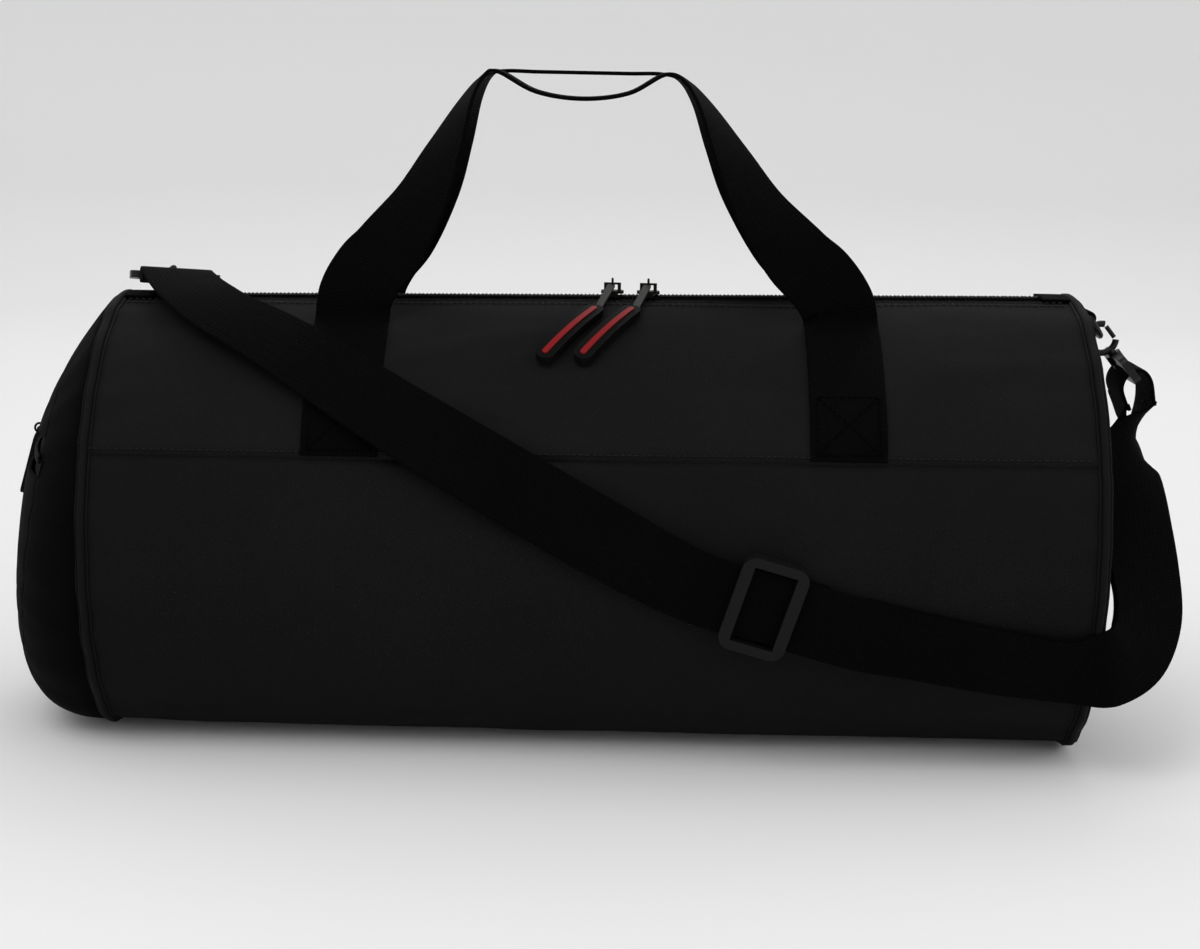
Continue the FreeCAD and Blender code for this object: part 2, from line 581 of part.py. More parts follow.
def base_bar():
    """Distance from the ring's wire to the middle of the swivel base's webbing bar."""
    return BASE_NEAR + BASE_TOP_BAR + BASE_SLOT + BASE_BAR / 2


def ring_tab(chain, anchor):
    """Webbing tab folded round the ring's bar, with both ends in the end seam."""
    bar = chain.multVec(V(-RING_BOW, 0, 0))
    across = chain.Rotation.multVec(V(0, 1, 0))
    radius = RING_BAR + RUN
    along = anchor.sub(bar)
    along = along.sub(across * along.dot(across))
    place = frame_at(bar - across * (RING_TAB_WIDTH / 2), along, across.cross(along) * -1)
    length = along.Length
    outer_radius = radius + RING_TAB_THICKNESS
    outer = Part.makeCylinder(outer_radius, RING_TAB_WIDTH, V(0, 0, 0), V(0, 1, 0))
    outer = outer.fuse(box([0, 0, -outer_radius], [length, RING_TAB_WIDTH, outer_radius]))
    inner = Part.makeCylinder(radius, RING_TAB_WIDTH, V(0, 0, 0), V(0, 1, 0))
    inner = inner.fuse(box([0, 0, -radius * 0.4], [length * 0.5, RING_TAB_WIDTH, radius * 0.4]))
    tab = outer.cut(inner)
    tab.Placement = place
    return tab.cut(barrel(-PIPING_PROUD, -SEAM_OUT, SEAM_OUT + CLOTH))


# ---------------------------------------------------------------- shoulder strap

def strap_station(x, angle, slope, lift):
    """Centre and width direction of webbing lying on the bag."""
    turn = math.radians(angle)
    down = V(0, -math.cos(turn), -math.sin(turn))
    slant = math.radians(slope)
    across = V(math.sin(slant), 0, 0) - down * math.cos(slant)
    return on_barrel(x, angle, BODY_RADIUS + lift), across


def straight_run():
    """Two stations of the straight stretch that the adjuster slides on."""
    start, end = [on_barrel(x, angle, BODY_RADIUS + STRAP_LIFT) for x, angle in STRAIGHT_RUN]
    across = outward(100).cross(end - start).normalize()
    return [(start, across), (end, across)]


def right_turn():
    """Stations of the doubled strap past the adjuster and round the bag's right end."""
    lying = [strap_station(x, angle, slope, STRAP_LIFT + lift) for x, angle, slope, lift in RIGHT_LYING]
    return lying + [(V(*place), V(*across)) for place, across in RIGHT_FREE]


def right_loop():
    """Stations of the webbing looped round the right swivel base's bar."""
    bar = right_chain().multVec(V(base_bar(), 0, 0))
    return [(bar + V(along, 0, rise), V(0, -1, 0)) for along, rise in RIGHT_LOOP]


def left_loop():
    """Stations of the webbing looped round the left swivel base's bar, in the chain's frame."""
    chain = left_chain()
    bar = base_bar()
    reach = BASE_THICKNESS / 2 + LOOP_CLEARANCE + WEBBING / 2
    flat = WEBBING / 2 + WEBBING_CLEARANCE / 2
    across = chain.Rotation.multVec(V(0, 1, 0))
    near = bar - BASE_BAR / 2 - LOOP_CLEARANCE - 0.7 * WEBBING
    half = [(bar + LOOP_LENGTH, flat), (bar + 8, 0.85 * reach), (bar, reach), (bar - 2.8, 0.85 * reach),
            (near, 0.35 * reach)]
    profile = [(a, -n) for a, n in half] + half[::-1]
    return [(chain.multVec(V(a, 0, n)), across) for a, n in profile]


def strap():
    """Webbing of the shoulder strap, divided where it is sewn back on itself."""
    left = left_loop()
    lying = [strap_station(x, angle, slope, STRAP_LIFT) for x, angle, slope in FRONT_RUN]
    save("strap_left_loop", ribbon(left))
    main = [left[-1]] + lying + straight_run() + right_turn() + right_loop()[:1]
    save("strap_webbing", ribbon(main))
    save("strap_right_loop", ribbon(right_loop()))
    doubled = straight_run()[1:] + right_turn()[:3]
    save("strap_return_layer", ribbon(shifted(doubled, -WEBBING - RETURN_GAP)[1:]))


def strap_frame():
    """Frame of the adjuster: x axis along the strap's straight stretch, z axis away from the bag."""
    start, end = [station[0] for station in straight_run()]
    middle = start + (end - start) * 0.42
    across = straight_run()[0][1]
    normal = V(end - start).cross(across)
    if normal.dot(outward(100)) < 0:
        normal = normal * -1
    return frame_at(middle, end - start, normal)


def adjuster():
    """Slide adjuster: end bars over the webbing, a centre bar under it, and the tail sewn round that bar."""
    clear = WEBBING / 2 + RUN
    top = clear + ADJUSTER_THICKNESS
    bottom = -clear - CENTRE_BAR_THICKNESS
    inner = WEBBING_WIDTH + 2
    width = inner + 2 * ADJUSTER_SIDE
    body = rounded_plate(ADJUSTER_LENGTH, width, bottom, top, ADJUSTER_CORNER)
    window = box([-ADJUSTER_LENGTH / 2 + ADJUSTER_BAR, -inner / 2, bottom - 1],
                 [ADJUSTER_LENGTH / 2 - ADJUSTER_BAR, inner / 2, top + 1])
    tunnel = box([-ADJUSTER_LENGTH, -inner / 2, bottom - 1], [ADJUSTER_LENGTH, inner / 2, clear])
    centre = box([-CENTRE_BAR / 2, -inner / 2 - 1, bottom], [CENTRE_BAR / 2, inner / 2 + 1, -clear])
    body = body.cut(window).cut(tunnel).fuse(centre).removeSplitter()
    body.Placement = strap_frame()
    save("adjuster", body)
    tail = box([CENTRE_BAR / 2, -WEBBING_WIDTH / 2, -clear - ADJUSTER_TAIL_THICKNESS],
               [ADJUSTER_TAIL, WEBBING_WIDTH / 2, -clear])
    tail.Placement = strap_frame()
    save("adjuster_tail", tail)


def main():
    os.makedirs("parts", exist_ok=True)
    body_panels()
    end_seams()
    pocket()
    pocket_slider()
    main_zip()
    main_slider("left", LEFT_SLIDER_X)
    main_slider("right", RIGHT_SLIDER_X)
    handles()
    chain_parts("left", left_chain())
    chain_parts("right", right_chain())
    save("left_ring_tab", ring_tab(left_chain(), on_barrel(-SEAM_IN, -30, BODY_RADIUS + 2)))
    save("right_ring_tab", ring_tab(right_chain(), V(SEAM_OUT, 0, BODY_TOP - 4)))
    strap()
    adjuster()


main()
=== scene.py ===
"""Looks of a barrel duffel bag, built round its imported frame. Metres, +X along the bag, -Y front, +Z up."""

import logging
import math
from dataclasses import dataclass, field
from enum import Enum
from typing import Callable, Iterable, Sequence

import bmesh
import bpy
from mathutils import Matrix, Vector, noise


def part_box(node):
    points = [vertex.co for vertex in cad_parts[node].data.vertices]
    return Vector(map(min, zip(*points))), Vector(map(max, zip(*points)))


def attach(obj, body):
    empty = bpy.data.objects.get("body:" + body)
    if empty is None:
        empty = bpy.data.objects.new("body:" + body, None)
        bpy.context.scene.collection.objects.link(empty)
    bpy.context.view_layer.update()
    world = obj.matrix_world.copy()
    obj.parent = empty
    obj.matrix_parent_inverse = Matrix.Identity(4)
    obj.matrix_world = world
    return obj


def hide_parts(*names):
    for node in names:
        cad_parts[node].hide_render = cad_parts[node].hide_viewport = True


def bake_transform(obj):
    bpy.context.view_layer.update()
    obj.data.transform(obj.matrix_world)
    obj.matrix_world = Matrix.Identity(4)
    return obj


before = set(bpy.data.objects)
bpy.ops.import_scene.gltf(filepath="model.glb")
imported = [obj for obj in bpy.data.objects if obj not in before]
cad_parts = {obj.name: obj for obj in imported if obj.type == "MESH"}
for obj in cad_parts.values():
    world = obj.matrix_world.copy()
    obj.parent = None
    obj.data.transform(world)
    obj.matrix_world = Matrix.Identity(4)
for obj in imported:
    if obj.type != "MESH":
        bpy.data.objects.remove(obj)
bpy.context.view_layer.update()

log = logging.getLogger("duffel")

Row = list[Vector]
Station = tuple[Vector, Vector]
Feed = bpy.types.NodeSocket | float | None


class Bumps(Enum):
    """Kinds of fine relief that a finish can carry."""
    WEAVE = "weave"
    WEBBING = "webbing"
    GRAIN = "grain"


# ---------------------------------------------------------------- shader groups

def new_group(name: str, inputs: dict[str, float], outputs: Sequence[str]) -> bpy.types.ShaderNodeTree:
    """Make an empty shader node group with float inputs and outputs.

    Args:
        name: The group's name.
        inputs: Input names and their default values.
        outputs: Output names.

    Returns:
        The new group, with its input and output nodes in place.
    """
    group = bpy.data.node_groups.new(name, "ShaderNodeTree")
    for label, value in inputs.items():
        socket = group.interface.new_socket(label, in_out="INPUT", socket_type="NodeSocketFloat")
        socket.default_value = value
    for label in outputs:
        group.interface.new_socket(label, in_out="OUTPUT", socket_type="NodeSocketFloat")
    group.nodes.new("NodeGroupInput").name = "in"
    group.nodes.new("NodeGroupOutput").name = "out"
    return group


def math_node(tree: bpy.types.NodeTree, operation: str, first: Feed,
              second: Feed = None) -> bpy.types.NodeSocket:
    """Add a math node.

    Args:
        tree: The tree it goes in.
        operation: Blender's name of the operation.
        first: A socket or a number.
        second: A socket, a number or nothing.

    Returns:
        The node's output socket.
    """
    node = tree.nodes.new("ShaderNodeMath")
    node.operation = operation
    for slot, value in zip(node.inputs, (first, second)):
        if isinstance(value, bpy.types.NodeSocket):
            tree.links.new(value, slot)
        elif value is not None:
            slot.default_value = value
    return node.outputs[0]


def uv_parts(tree: bpy.types.NodeTree) -> tuple[bpy.types.NodeSocket, bpy.types.NodeSocket]:
    """Return the two sockets of the cloth's own coordinates, in metres."""
    coordinates = tree.nodes.new("ShaderNodeUVMap")
    coordinates.uv_map = "cloth"
    split = tree.nodes.new("ShaderNodeSeparateXYZ")
    tree.links.new(coordinates.outputs[0], split.inputs[0])
    return split.outputs[0], split.outputs[1]


def surface_noise(tree: bpy.types.NodeTree, scale: Feed, detail: float,
                  roughness: float = 0.5) -> bpy.types.NodeSocket:
    """Noise that stays put on the object.

    Args:
        tree: The tree it goes in.
        scale: A socket or a number.
        detail: Number of finer layers.
        roughness: Strength of the finer layers.

    Returns:
        The noise's value socket.
    """
    coordinates = tree.nodes.new("ShaderNodeTexCoord")
    speck = tree.nodes.new("ShaderNodeTexNoise")
    speck.inputs["Detail"].default_value = detail
    speck.inputs["Roughness"].default_value = roughness
    tree.links.new(coordinates.outputs["Object"], speck.inputs["Vector"])
    if isinstance(scale, bpy.types.NodeSocket):
        tree.links.new(scale, speck.inputs["Scale"])
    else:
        speck.inputs["Scale"].default_value = scale
    return speck.outputs["Fac"]


def send(group: bpy.types.ShaderNodeTree, values: dict[str, bpy.types.NodeSocket]) -> None:
    """Link values to a group's outputs.

    Args:
        group: The group.
        values: Output names and the sockets that feed them.
    """
    for label, socket in values.items():
        group.links.new(socket, group.nodes["out"].inputs[label])


def weave_group() -> bpy.types.ShaderNodeTree:
    """Plain weave: threads that pass over and under, with slight slubs."""
    group = new_group("plain_weave", {"Threads per metre": 1400.0}, ["Height", "Slub"])
    u, v = uv_parts(group)
    turn = math_node(group, "MULTIPLY", group.nodes["in"].outputs["Threads per metre"], math.pi)
    across = math_node(group, "SINE", math_node(group, "MULTIPLY", u, turn))
    along = math_node(group, "SINE", math_node(group, "MULTIPLY", v, turn))
    woven = math_node(group, "MULTIPLY", across, along)
    slub = surface_noise(group, 260.0, 3.0)
    height = math_node(group, "ADD", math_node(group, "MULTIPLY", woven, 0.5), slub)
    send(group, {"Height": height, "Slub": slub})
    return group


def webbing_group() -> bpy.types.ShaderNodeTree:
    """Ribbed webbing: cross ribs that swerve over lengthwise wales."""
    group = new_group("webbing_ribs", {"Ribs per metre": 620.0, "Wales per metre": 420.0}, ["Height", "Slub"])
    inputs = group.nodes["in"].outputs
    u, v = uv_parts(group)
    rib_turn = math_node(group, "MULTIPLY", inputs["Ribs per metre"], math.pi)
    wale_turn = math_node(group, "MULTIPLY", inputs["Wales per metre"], math.pi)
    wale = math_node(group, "SINE", math_node(group, "MULTIPLY", v, wale_turn))
    swerve = math_node(group, "MULTIPLY", wale, 0.9)
    shifted = math_node(group, "ADD", math_node(group, "MULTIPLY", u, rib_turn), swerve)
    rib = math_node(group, "ABSOLUTE", math_node(group, "SINE", shifted))
    raised = math_node(group, "MULTIPLY", math_node(group, "ABSOLUTE", wale), 0.7)
    slub = surface_noise(group, 700.0, 2.0)
    ridge = math_node(group, "ADD", rib, raised)
    height = math_node(group, "ADD", ridge, math_node(group, "MULTIPLY", slub, 0.5))
    send(group, {"Height": height, "Slub": slub})
    return group


def grain_group() -> bpy.types.ShaderNodeTree:
    """Fine moulded or cast grain."""
    group = new_group("fine_grain", {"Grains per metre": 1800.0}, ["Height", "Slub"])
    speck = surface_noise(group, group.nodes["in"].outputs["Grains per metre"], 4.0)
    send(group, {"Height": speck, "Slub": speck})
    return group


def dust_group() -> bpy.types.ShaderNodeTree:
    """Broad, soft patches of lint and handling."""
    group = new_group("soft_patches", {"Scale": 14.0, "Strength": 0.5}, ["Mask"])
    inputs = group.nodes["in"].outputs
    lifted = math_node(group, "SUBTRACT", surface_noise(group, inputs["Scale"], 6.0, 0.62), 0.38)
    strong = math_node(group, "MULTIPLY", lifted, inputs["Strength"])
    send(group, {"Mask": math_node(group, "MINIMUM", math_node(group, "MAXIMUM", strong, 0.0), 1.0)})
    return group


class Groups:
    """The shared shader groups, each built once."""

    def __init__(self) -> None:
        """Build every group."""
        self.relief = {Bumps.WEAVE: weave_group(), Bumps.WEBBING: webbing_group(), Bumps.GRAIN: grain_group()}
        self.dust = dust_group()


# ---------------------------------------------------------------- finishes

@dataclass(frozen=True)
class Finish:
    """One material: its two tones, its relief and its gloss."""
    name: str
    dark: tuple[float, float, float]
    light: tuple[float, float, float]
    relief: Bumps
    bump: float = 0.25
    bump_distance: float = 0.0004
    rough: tuple[float, float] = (0.8, 0.95)
    metallic: float = 0.0
    sheen: float = 0.0
    sheen_tint: tuple[float, float, float] = (0.5, 0.5, 0.5)
    specular: float = 0.3
    patch_strength: float = 1.2

    def build(self, groups: Groups) -> bpy.types.Material:
        """Make the material.

        Args:
            groups: The shared shader groups.

        Returns:
            The finished material.
        """
        material = bpy.data.materials.new(self.name)
        material.use_nodes = True
        tree = material.node_tree
        surface = tree.nodes["Principled BSDF"]
        relief = tree.nodes.new("ShaderNodeGroup")
        relief.node_tree = groups.relief[self.relief]
        for socket in relief.inputs:
            socket.default_value = relief.node_tree.interface.items_tree[socket.name].default_value
        dust = tree.nodes.new("ShaderNodeGroup")
        dust.node_tree = groups.dust
        dust.inputs["Scale"].default_value = 14.0
        dust.inputs["Strength"].default_value = self.patch_strength
        tone = tree.nodes.new("ShaderNodeMix")
        tone.data_type = "RGBA"
        tone.inputs[6].default_value = (*self.dark, 1.0)
        tone.inputs[7].default_value = (*self.light, 1.0)
        share = math_node(tree, "MULTIPLY", dust.outputs["Mask"], 0.7)
        mixed = math_node(tree, "ADD", share, math_node(tree, "MULTIPLY", relief.outputs["Slub"], 0.45))
        tree.links.new(math_node(tree, "MINIMUM", mixed, 1.0), tone.inputs[0])
        tree.links.new(tone.outputs[2], surface.inputs["Base Color"])
        spread = self.rough[1] - self.rough[0]
        varied = math_node(tree, "MULTIPLY", relief.outputs["Slub"], spread)
        rough = math_node(tree, "ADD", varied, self.rough[0])
        tree.links.new(rough, surface.inputs["Roughness"])
        bump = tree.nodes.new("ShaderNodeBump")
        bump.inputs["Strength"].default_value = self.bump
        bump.inputs["Distance"].default_value = self.bump_distance
        tree.links.new(relief.outputs["Height"], bump.inputs["Height"])
        tree.links.new(bump.outputs[0], surface.inputs["Normal"])
        surface.inputs["Metallic"].default_value = self.metallic
        surface.inputs["Specular IOR Level"].default_value = self.specular
        surface.inputs["Sheen Weight"].default_value = self.sheen
        surface.inputs["Sheen Roughness"].default_value = 0.45
        surface.inputs["Sheen Tint"].default_value = (*self.sheen_tint, 1.0)
        return material


def grey(value: float) -> tuple[float, float, float]:
    """Return a neutral colour of one value."""
    return value, value, value


FINISH_LIST = (
    Finish("upper_cloth", grey(0.0047), grey(0.0090), Bumps.WEAVE, 0.4, sheen=0.012, specular=0.07),
    Finish("lower_cloth", grey(0.0044), grey(0.0078), Bumps.WEAVE, 0.4, sheen=0.008, specular=0.055),
    Finish("end_cloth", grey(0.0008), grey(0.0018), Bumps.WEAVE, 0.35, specular=0.035),
    Finish("piping", grey(0.0022), grey(0.0042), Bumps.WEAVE, 0.3, rough=(0.6, 0.8), specular=0.08),
    Finish("zip_tape", grey(0.0007), grey(0.0018), Bumps.WEBBING, 0.3, specular=0.04),
    Finish("zip_coil", grey(0.001), grey(0.002), Bumps.GRAIN, 0.1, rough=(0.35, 0.5), specular=0.16),
    Finish("slider_metal", (0.0032, 0.0027, 0.0016), (0.0065, 0.0054, 0.0032), Bumps.GRAIN, 0.12,
           rough=(0.4, 0.6), specular=0.08),
    Finish("pull_rubber", grey(0.0010), grey(0.0022), Bumps.GRAIN, 0.2, rough=(0.55, 0.75), specular=0.08),
    Finish("pull_stripe", (0.17, 0.003, 0.005), (0.24, 0.006, 0.009), Bumps.GRAIN, 0.15,
           rough=(0.45, 0.6), specular=0.15, patch_strength=0.5),
    Finish("webbing", grey(0.0006), grey(0.0022), Bumps.WEBBING, 0.6, 0.0006, specular=0.035),
    Finish("adjuster_plastic", grey(0.0028), grey(0.0040), Bumps.GRAIN, 0.15, rough=(0.42, 0.6),
           specular=0.13),
    Finish("hook_metal", grey(0.0015), grey(0.003), Bumps.GRAIN, 0.1, rough=(0.28, 0.45), specular=0.22),
    Finish("thread", grey(0.006), grey(0.012), Bumps.GRAIN, 0.2, rough=(0.55, 0.7), specular=0.12),
)


class Wardrobe:
    """Holds the built materials and dresses pieces with them."""

    def __init__(self) -> None:
        """Build every finish once."""
        groups = Groups()
        self.materials = {finish.name: finish.build(groups) for finish in FINISH_LIST}

    def dress(self, piece: bpy.types.Object, name: str) -> None:
        """Give a piece one finish all over.

        Args:
            piece: The piece.
            name: The finish's name.
        """
        piece.data.materials.clear()
        piece.data.materials.append(self.materials[name])

    def settle(self, piece: bpy.types.Object, finish: str, slot: str, *nodes: str, body: str = "bag") -> None:
        """Dress a piece, tie it to a body and let it stand for CAD nodes.

        Args:
            piece: The piece.
            finish: The finish that it gets.
            slot: Not used.
            nodes: The CAD nodes that it replaces, if any.
            body: The body that it rides.
        """
        self.dress(piece, finish)
        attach(piece, body)
        if nodes:
            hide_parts(*nodes)

    def dress_node(self, node: str, name: str) -> None:
        """Give a carried-over node a finish in its own material slots.

        Args:
            node: The CAD node.
            name: The finish's name.
        """
        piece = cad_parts[node]
        for slot in piece.material_slots:
            slot.material = self.materials[name]


# ---------------------------------------------------------------- mesh helpers

def publish(name: str, mesh: bpy.types.Mesh) -> bpy.types.Object:
    """Link a mesh to the scene as a smoothly shaded object.

    Args:
        name: The object's name.
        mesh: Its mesh.

    Returns:
        The new object.
    """
    for polygon in mesh.polygons:
        polygon.use_smooth = True
    piece = bpy.data.objects.new(name, mesh)
    bpy.context.scene.collection.objects.link(piece)
    return piece


def grid_mesh(name: str, rows: Sequence[Row], uvs: Sequence[Sequence[tuple[float, float]]],
              wrap: bool = False) -> bpy.types.Mesh:
    """Quad mesh through rows of points.

    Args:
        name: The mesh's name.
        rows: Rows of points, all the same length.
        uvs: Cloth coordinates in metres, one per point.
        wrap: Whether each row closes on itself.

    Returns:
        The mesh, with a "cloth" coordinate layer.
    """
    width = len(rows[0])
    points = [tuple(p) for row in rows for p in row]
    flat = [uv for row in uvs for uv in row]
    faces = []
    for i in range(len(rows) - 1):
        for j in range(width if wrap else width - 1):
            k = (j + 1) % width
            faces.append((i * width + j, i * width + k, (i + 1) * width + k, (i + 1) * width + j))
    mesh = bpy.data.meshes.new(name)
    mesh.from_pydata(points, [], faces)
    layer = mesh.uv_layers.new(name="cloth")
    for loop in mesh.loops:
        layer.data[loop.index].uv = flat[loop.vertex_index]
    mesh.validate()
    return mesh


def thicken(piece: bpy.types.Object, thickness: float, offset: float = -1.0) -> None:
    """Turn a sheet into a closed skin.

    Args:
        piece: The sheet.
        thickness: Its thickness in metres.
        offset: -1 grows it against its normals, 0 grows it both ways.
    """
    solid = piece.modifiers.new("thickness", "SOLIDIFY")
    solid.thickness = thickness
    solid.offset = offset
    solid.use_even_offset = False
    apply_modifiers(piece)


def apply_modifiers(piece: bpy.types.Object) -> None:
    """Bake a piece's modifiers into its mesh."""
    graph = bpy.context.evaluated_depsgraph_get()
    baked = bpy.data.meshes.new_from_object(piece.evaluated_get(graph), preserve_all_data_layers=True,
                                            depsgraph=graph)
    piece.modifiers.clear()
    piece.data = baked
    for polygon in baked.polygons:
        polygon.use_smooth = True


def tube_mesh(name: str, path: Sequence[Vector], radius: float, closed: bool,
              sides: int = 10) -> bpy.types.Mesh:
    """Round tube along a path.

    Args:
        name: The mesh's name.
        path: Points along the middle.
        radius: Half the thickness.
        closed: Whether the path is a ring.
        sides: Number of facets round.

    Returns:
        The tube's mesh.
    """
    rows, uvs = [], []
    count = len(path)
    length = 0.0
    side = Vector((1.0, 0.0, 0.0))
    for i, point in enumerate(path):
        ahead = path[(i + 1) % count] if closed or i + 1 < count else point
        behind = path[i - 1] if closed or i > 0 else point
        tangent = (ahead - behind).normalized()
        side = (side - tangent * side.dot(tangent)).normalized()
        up = tangent.cross(side)
        length += (point - behind).length
        row, uv = [], []
        for k in range(sides):
            turn = 2 * math.pi * k / sides
            row.append(point + side * (radius * math.cos(turn)) + up * (radius * math.sin(turn)))
            uv.append((length, radius * turn))
        rows.append(row)
        uvs.append(uv)
    if closed:
        rows.append(rows[0])
        uvs.append(uvs[0])
    mesh = grid_mesh(name, rows, uvs, wrap=True)
    if not closed:
        cap_ends(mesh, sides, len(rows))
    return mesh


def cap_ends(mesh: bpy.types.Mesh, sides: int, rows: int) -> None:
    """Close both ends of an open tube.

    Args:
        mesh: The tube's mesh.
        sides: Points in each row.
        rows: Number of rows.
    """
    work = bmesh.new()
    work.from_mesh(mesh)
    work.verts.ensure_lookup_table()
    work.faces.new([work.verts[k] for k in range(sides)])
    start = (rows - 1) * sides
    work.faces.new([work.verts[start + k] for k in reversed(range(sides))])
    bmesh.ops.recalc_face_normals(work, faces=work.faces)
    work.to_mesh(mesh)
    work.free()


def join(name: str, pieces: Iterable[bpy.types.Object]) -> bpy.types.Object:
    """Join several objects into one and name it.

    Args:
        name: The name of the result.
        pieces: The objects, of which the first is kept.

    Returns:
        The joined object.
    """
    pieces = list(pieces)
    first = pieces[0]
    with bpy.context.temp_override(active_object=first, selected_editable_objects=pieces, object=first):
        bpy.ops.object.join()
    pieces[0].name = name
    return pieces[0]


def catmull(points: Sequence[Vector], steps: int) -> Row:
    """Smooth line through points, with an even number of steps in each span.

    Args:
        points: The points that it goes through.
        steps: Steps in each span.

    Returns:
        The points of the smooth line.
    """
    result = []
    last = len(points) - 1
    for i in range(last):
        a = points[max(i - 1, 0)]
        b, c = points[i], points[i + 1]
        d = points[min(i + 2, last)]
        for k in range(steps):
            t = k / steps
            result.append(0.5 * ((2 * b) + (c - a) * t + (2 * a - 5 * b + 4 * c - d) * t * t
                                 + (3 * b - a - 3 * c + d) * t ** 3))
    result.append(points[-1].copy())
    return result


# one stitch: share of its length, rise and girth in thread radii
STITCH_PROFILE = ((-0.40, -0.3, 0.5), (-0.2, 0.9, 1.0), (0.2, 0.9, 1.0), (0.40, -0.3, 0.5))


def stitches(name: str, path: Sequence[Vector], normal: Callable[[Vector], Vector], pitch: float = 0.0034,
             thread: float = 0.0004) -> bpy.types.Object:
    """Row of sewn stitches lying on a surface.

    Args:
        name: The piece's name.
        path: Points on the surface.
        normal: Gives the outward direction at a point.
        pitch: Distance from one stitch to the next.
        thread: Half the thread's thickness.

    Returns:
        One object with every stitch in it.
    """
    points, faces, uvs = [], [], []
    travelled, wanted = 0.0, 0.0
    for a, b in zip(path, path[1:]):
        span = (b - a).length
        while span > 1e-9 and wanted <= travelled + span:
            centre = a.lerp(b, (wanted - travelled) / span)
            wanted += pitch
            out = normal(centre)
            along = (b - a).normalized()
            side = out.cross(along).normalized() * thread
            base = len(points)
            for share, rise, girth in STITCH_PROFILE:
                middle = centre + along * (share * pitch) + out * (rise * thread)
                lift = out * (thread * girth)
                points += [middle + side * girth, middle + lift, middle - side * girth, middle - lift]
            for i in range(3):
                for k in range(4):
                    n = (k + 1) % 4
                    start = base + 4 * i
                    faces.append((start + k, start + n, start + 4 + n, start + 4 + k))
            faces.append((base + 3, base + 2, base + 1, base))
            faces.append((base + 12, base + 13, base + 14, base + 15))
        travelled += span
    mesh = bpy.data.meshes.new(name)
    mesh.from_pydata([tuple(p) for p in points], [], faces)
    mesh.uv_layers.new(name="cloth")
    return publish(name, mesh)


@dataclass
class Webbing:
    """Flat webbing that follows stations, each a centre and a width direction."""
    name: str
    stations: list[Station]
    width: float = 0.038
    thickness: float = 0.0019
    steps: int = 9

    def build(self) -> bpy.types.Object:
        """Build the webbing as one closed band with rounded selvedges."""
        centres = catmull([s[0] for s in self.stations], self.steps)
        widths = catmull([s[1] for s in self.stations], self.steps)
        top = [(-0.985, 0.42)] + [(share, 0.5) for share in (-0.93, -0.5, 0.0, 0.5, 0.93)] + [(0.985, 0.42)]
        under = [(share, -rise) for share, rise in reversed(top)]
        profile = [(-1.0, 0.0)] + top + [(1.0, 0.0)] + under
        rows, uvs = [], []
        travelled = 0.0
        last = len(centres) - 1
        for i, (centre, across) in enumerate(zip(centres, widths)):
            tangent = (centres[min(i + 1, last)] - centres[max(i - 1, 0)]).normalized()
            across = (across - tangent * across.dot(tangent)).normalized()
            face = tangent.cross(across)
            if i:
                travelled += (centre - centres[i - 1]).length
            row, uv = [], []
            for share, rise in profile:
                row.append(centre + across * (share * self.width / 2) + face * (rise * self.thickness))
                uv.append((travelled, share * self.width / 2))
            rows.append(row)
            uvs.append(uv)
        mesh = grid_mesh(self.name, rows, uvs, wrap=True)
        cap_ends(mesh, len(profile), len(rows))
        return publish(self.name, mesh)


# ---------------------------------------------------------------- the bag's form

SIDE_SEAM = math.radians(66.0)
SEAM_X = 0.2475
TAPE_HALF = 0.014
BODY_TOP = 0.228
POCKET_DROP = 0.045
STITCH_STEP = 0.004
STITCH_POINTS = 124
THREAD_LIFT = 0.0003


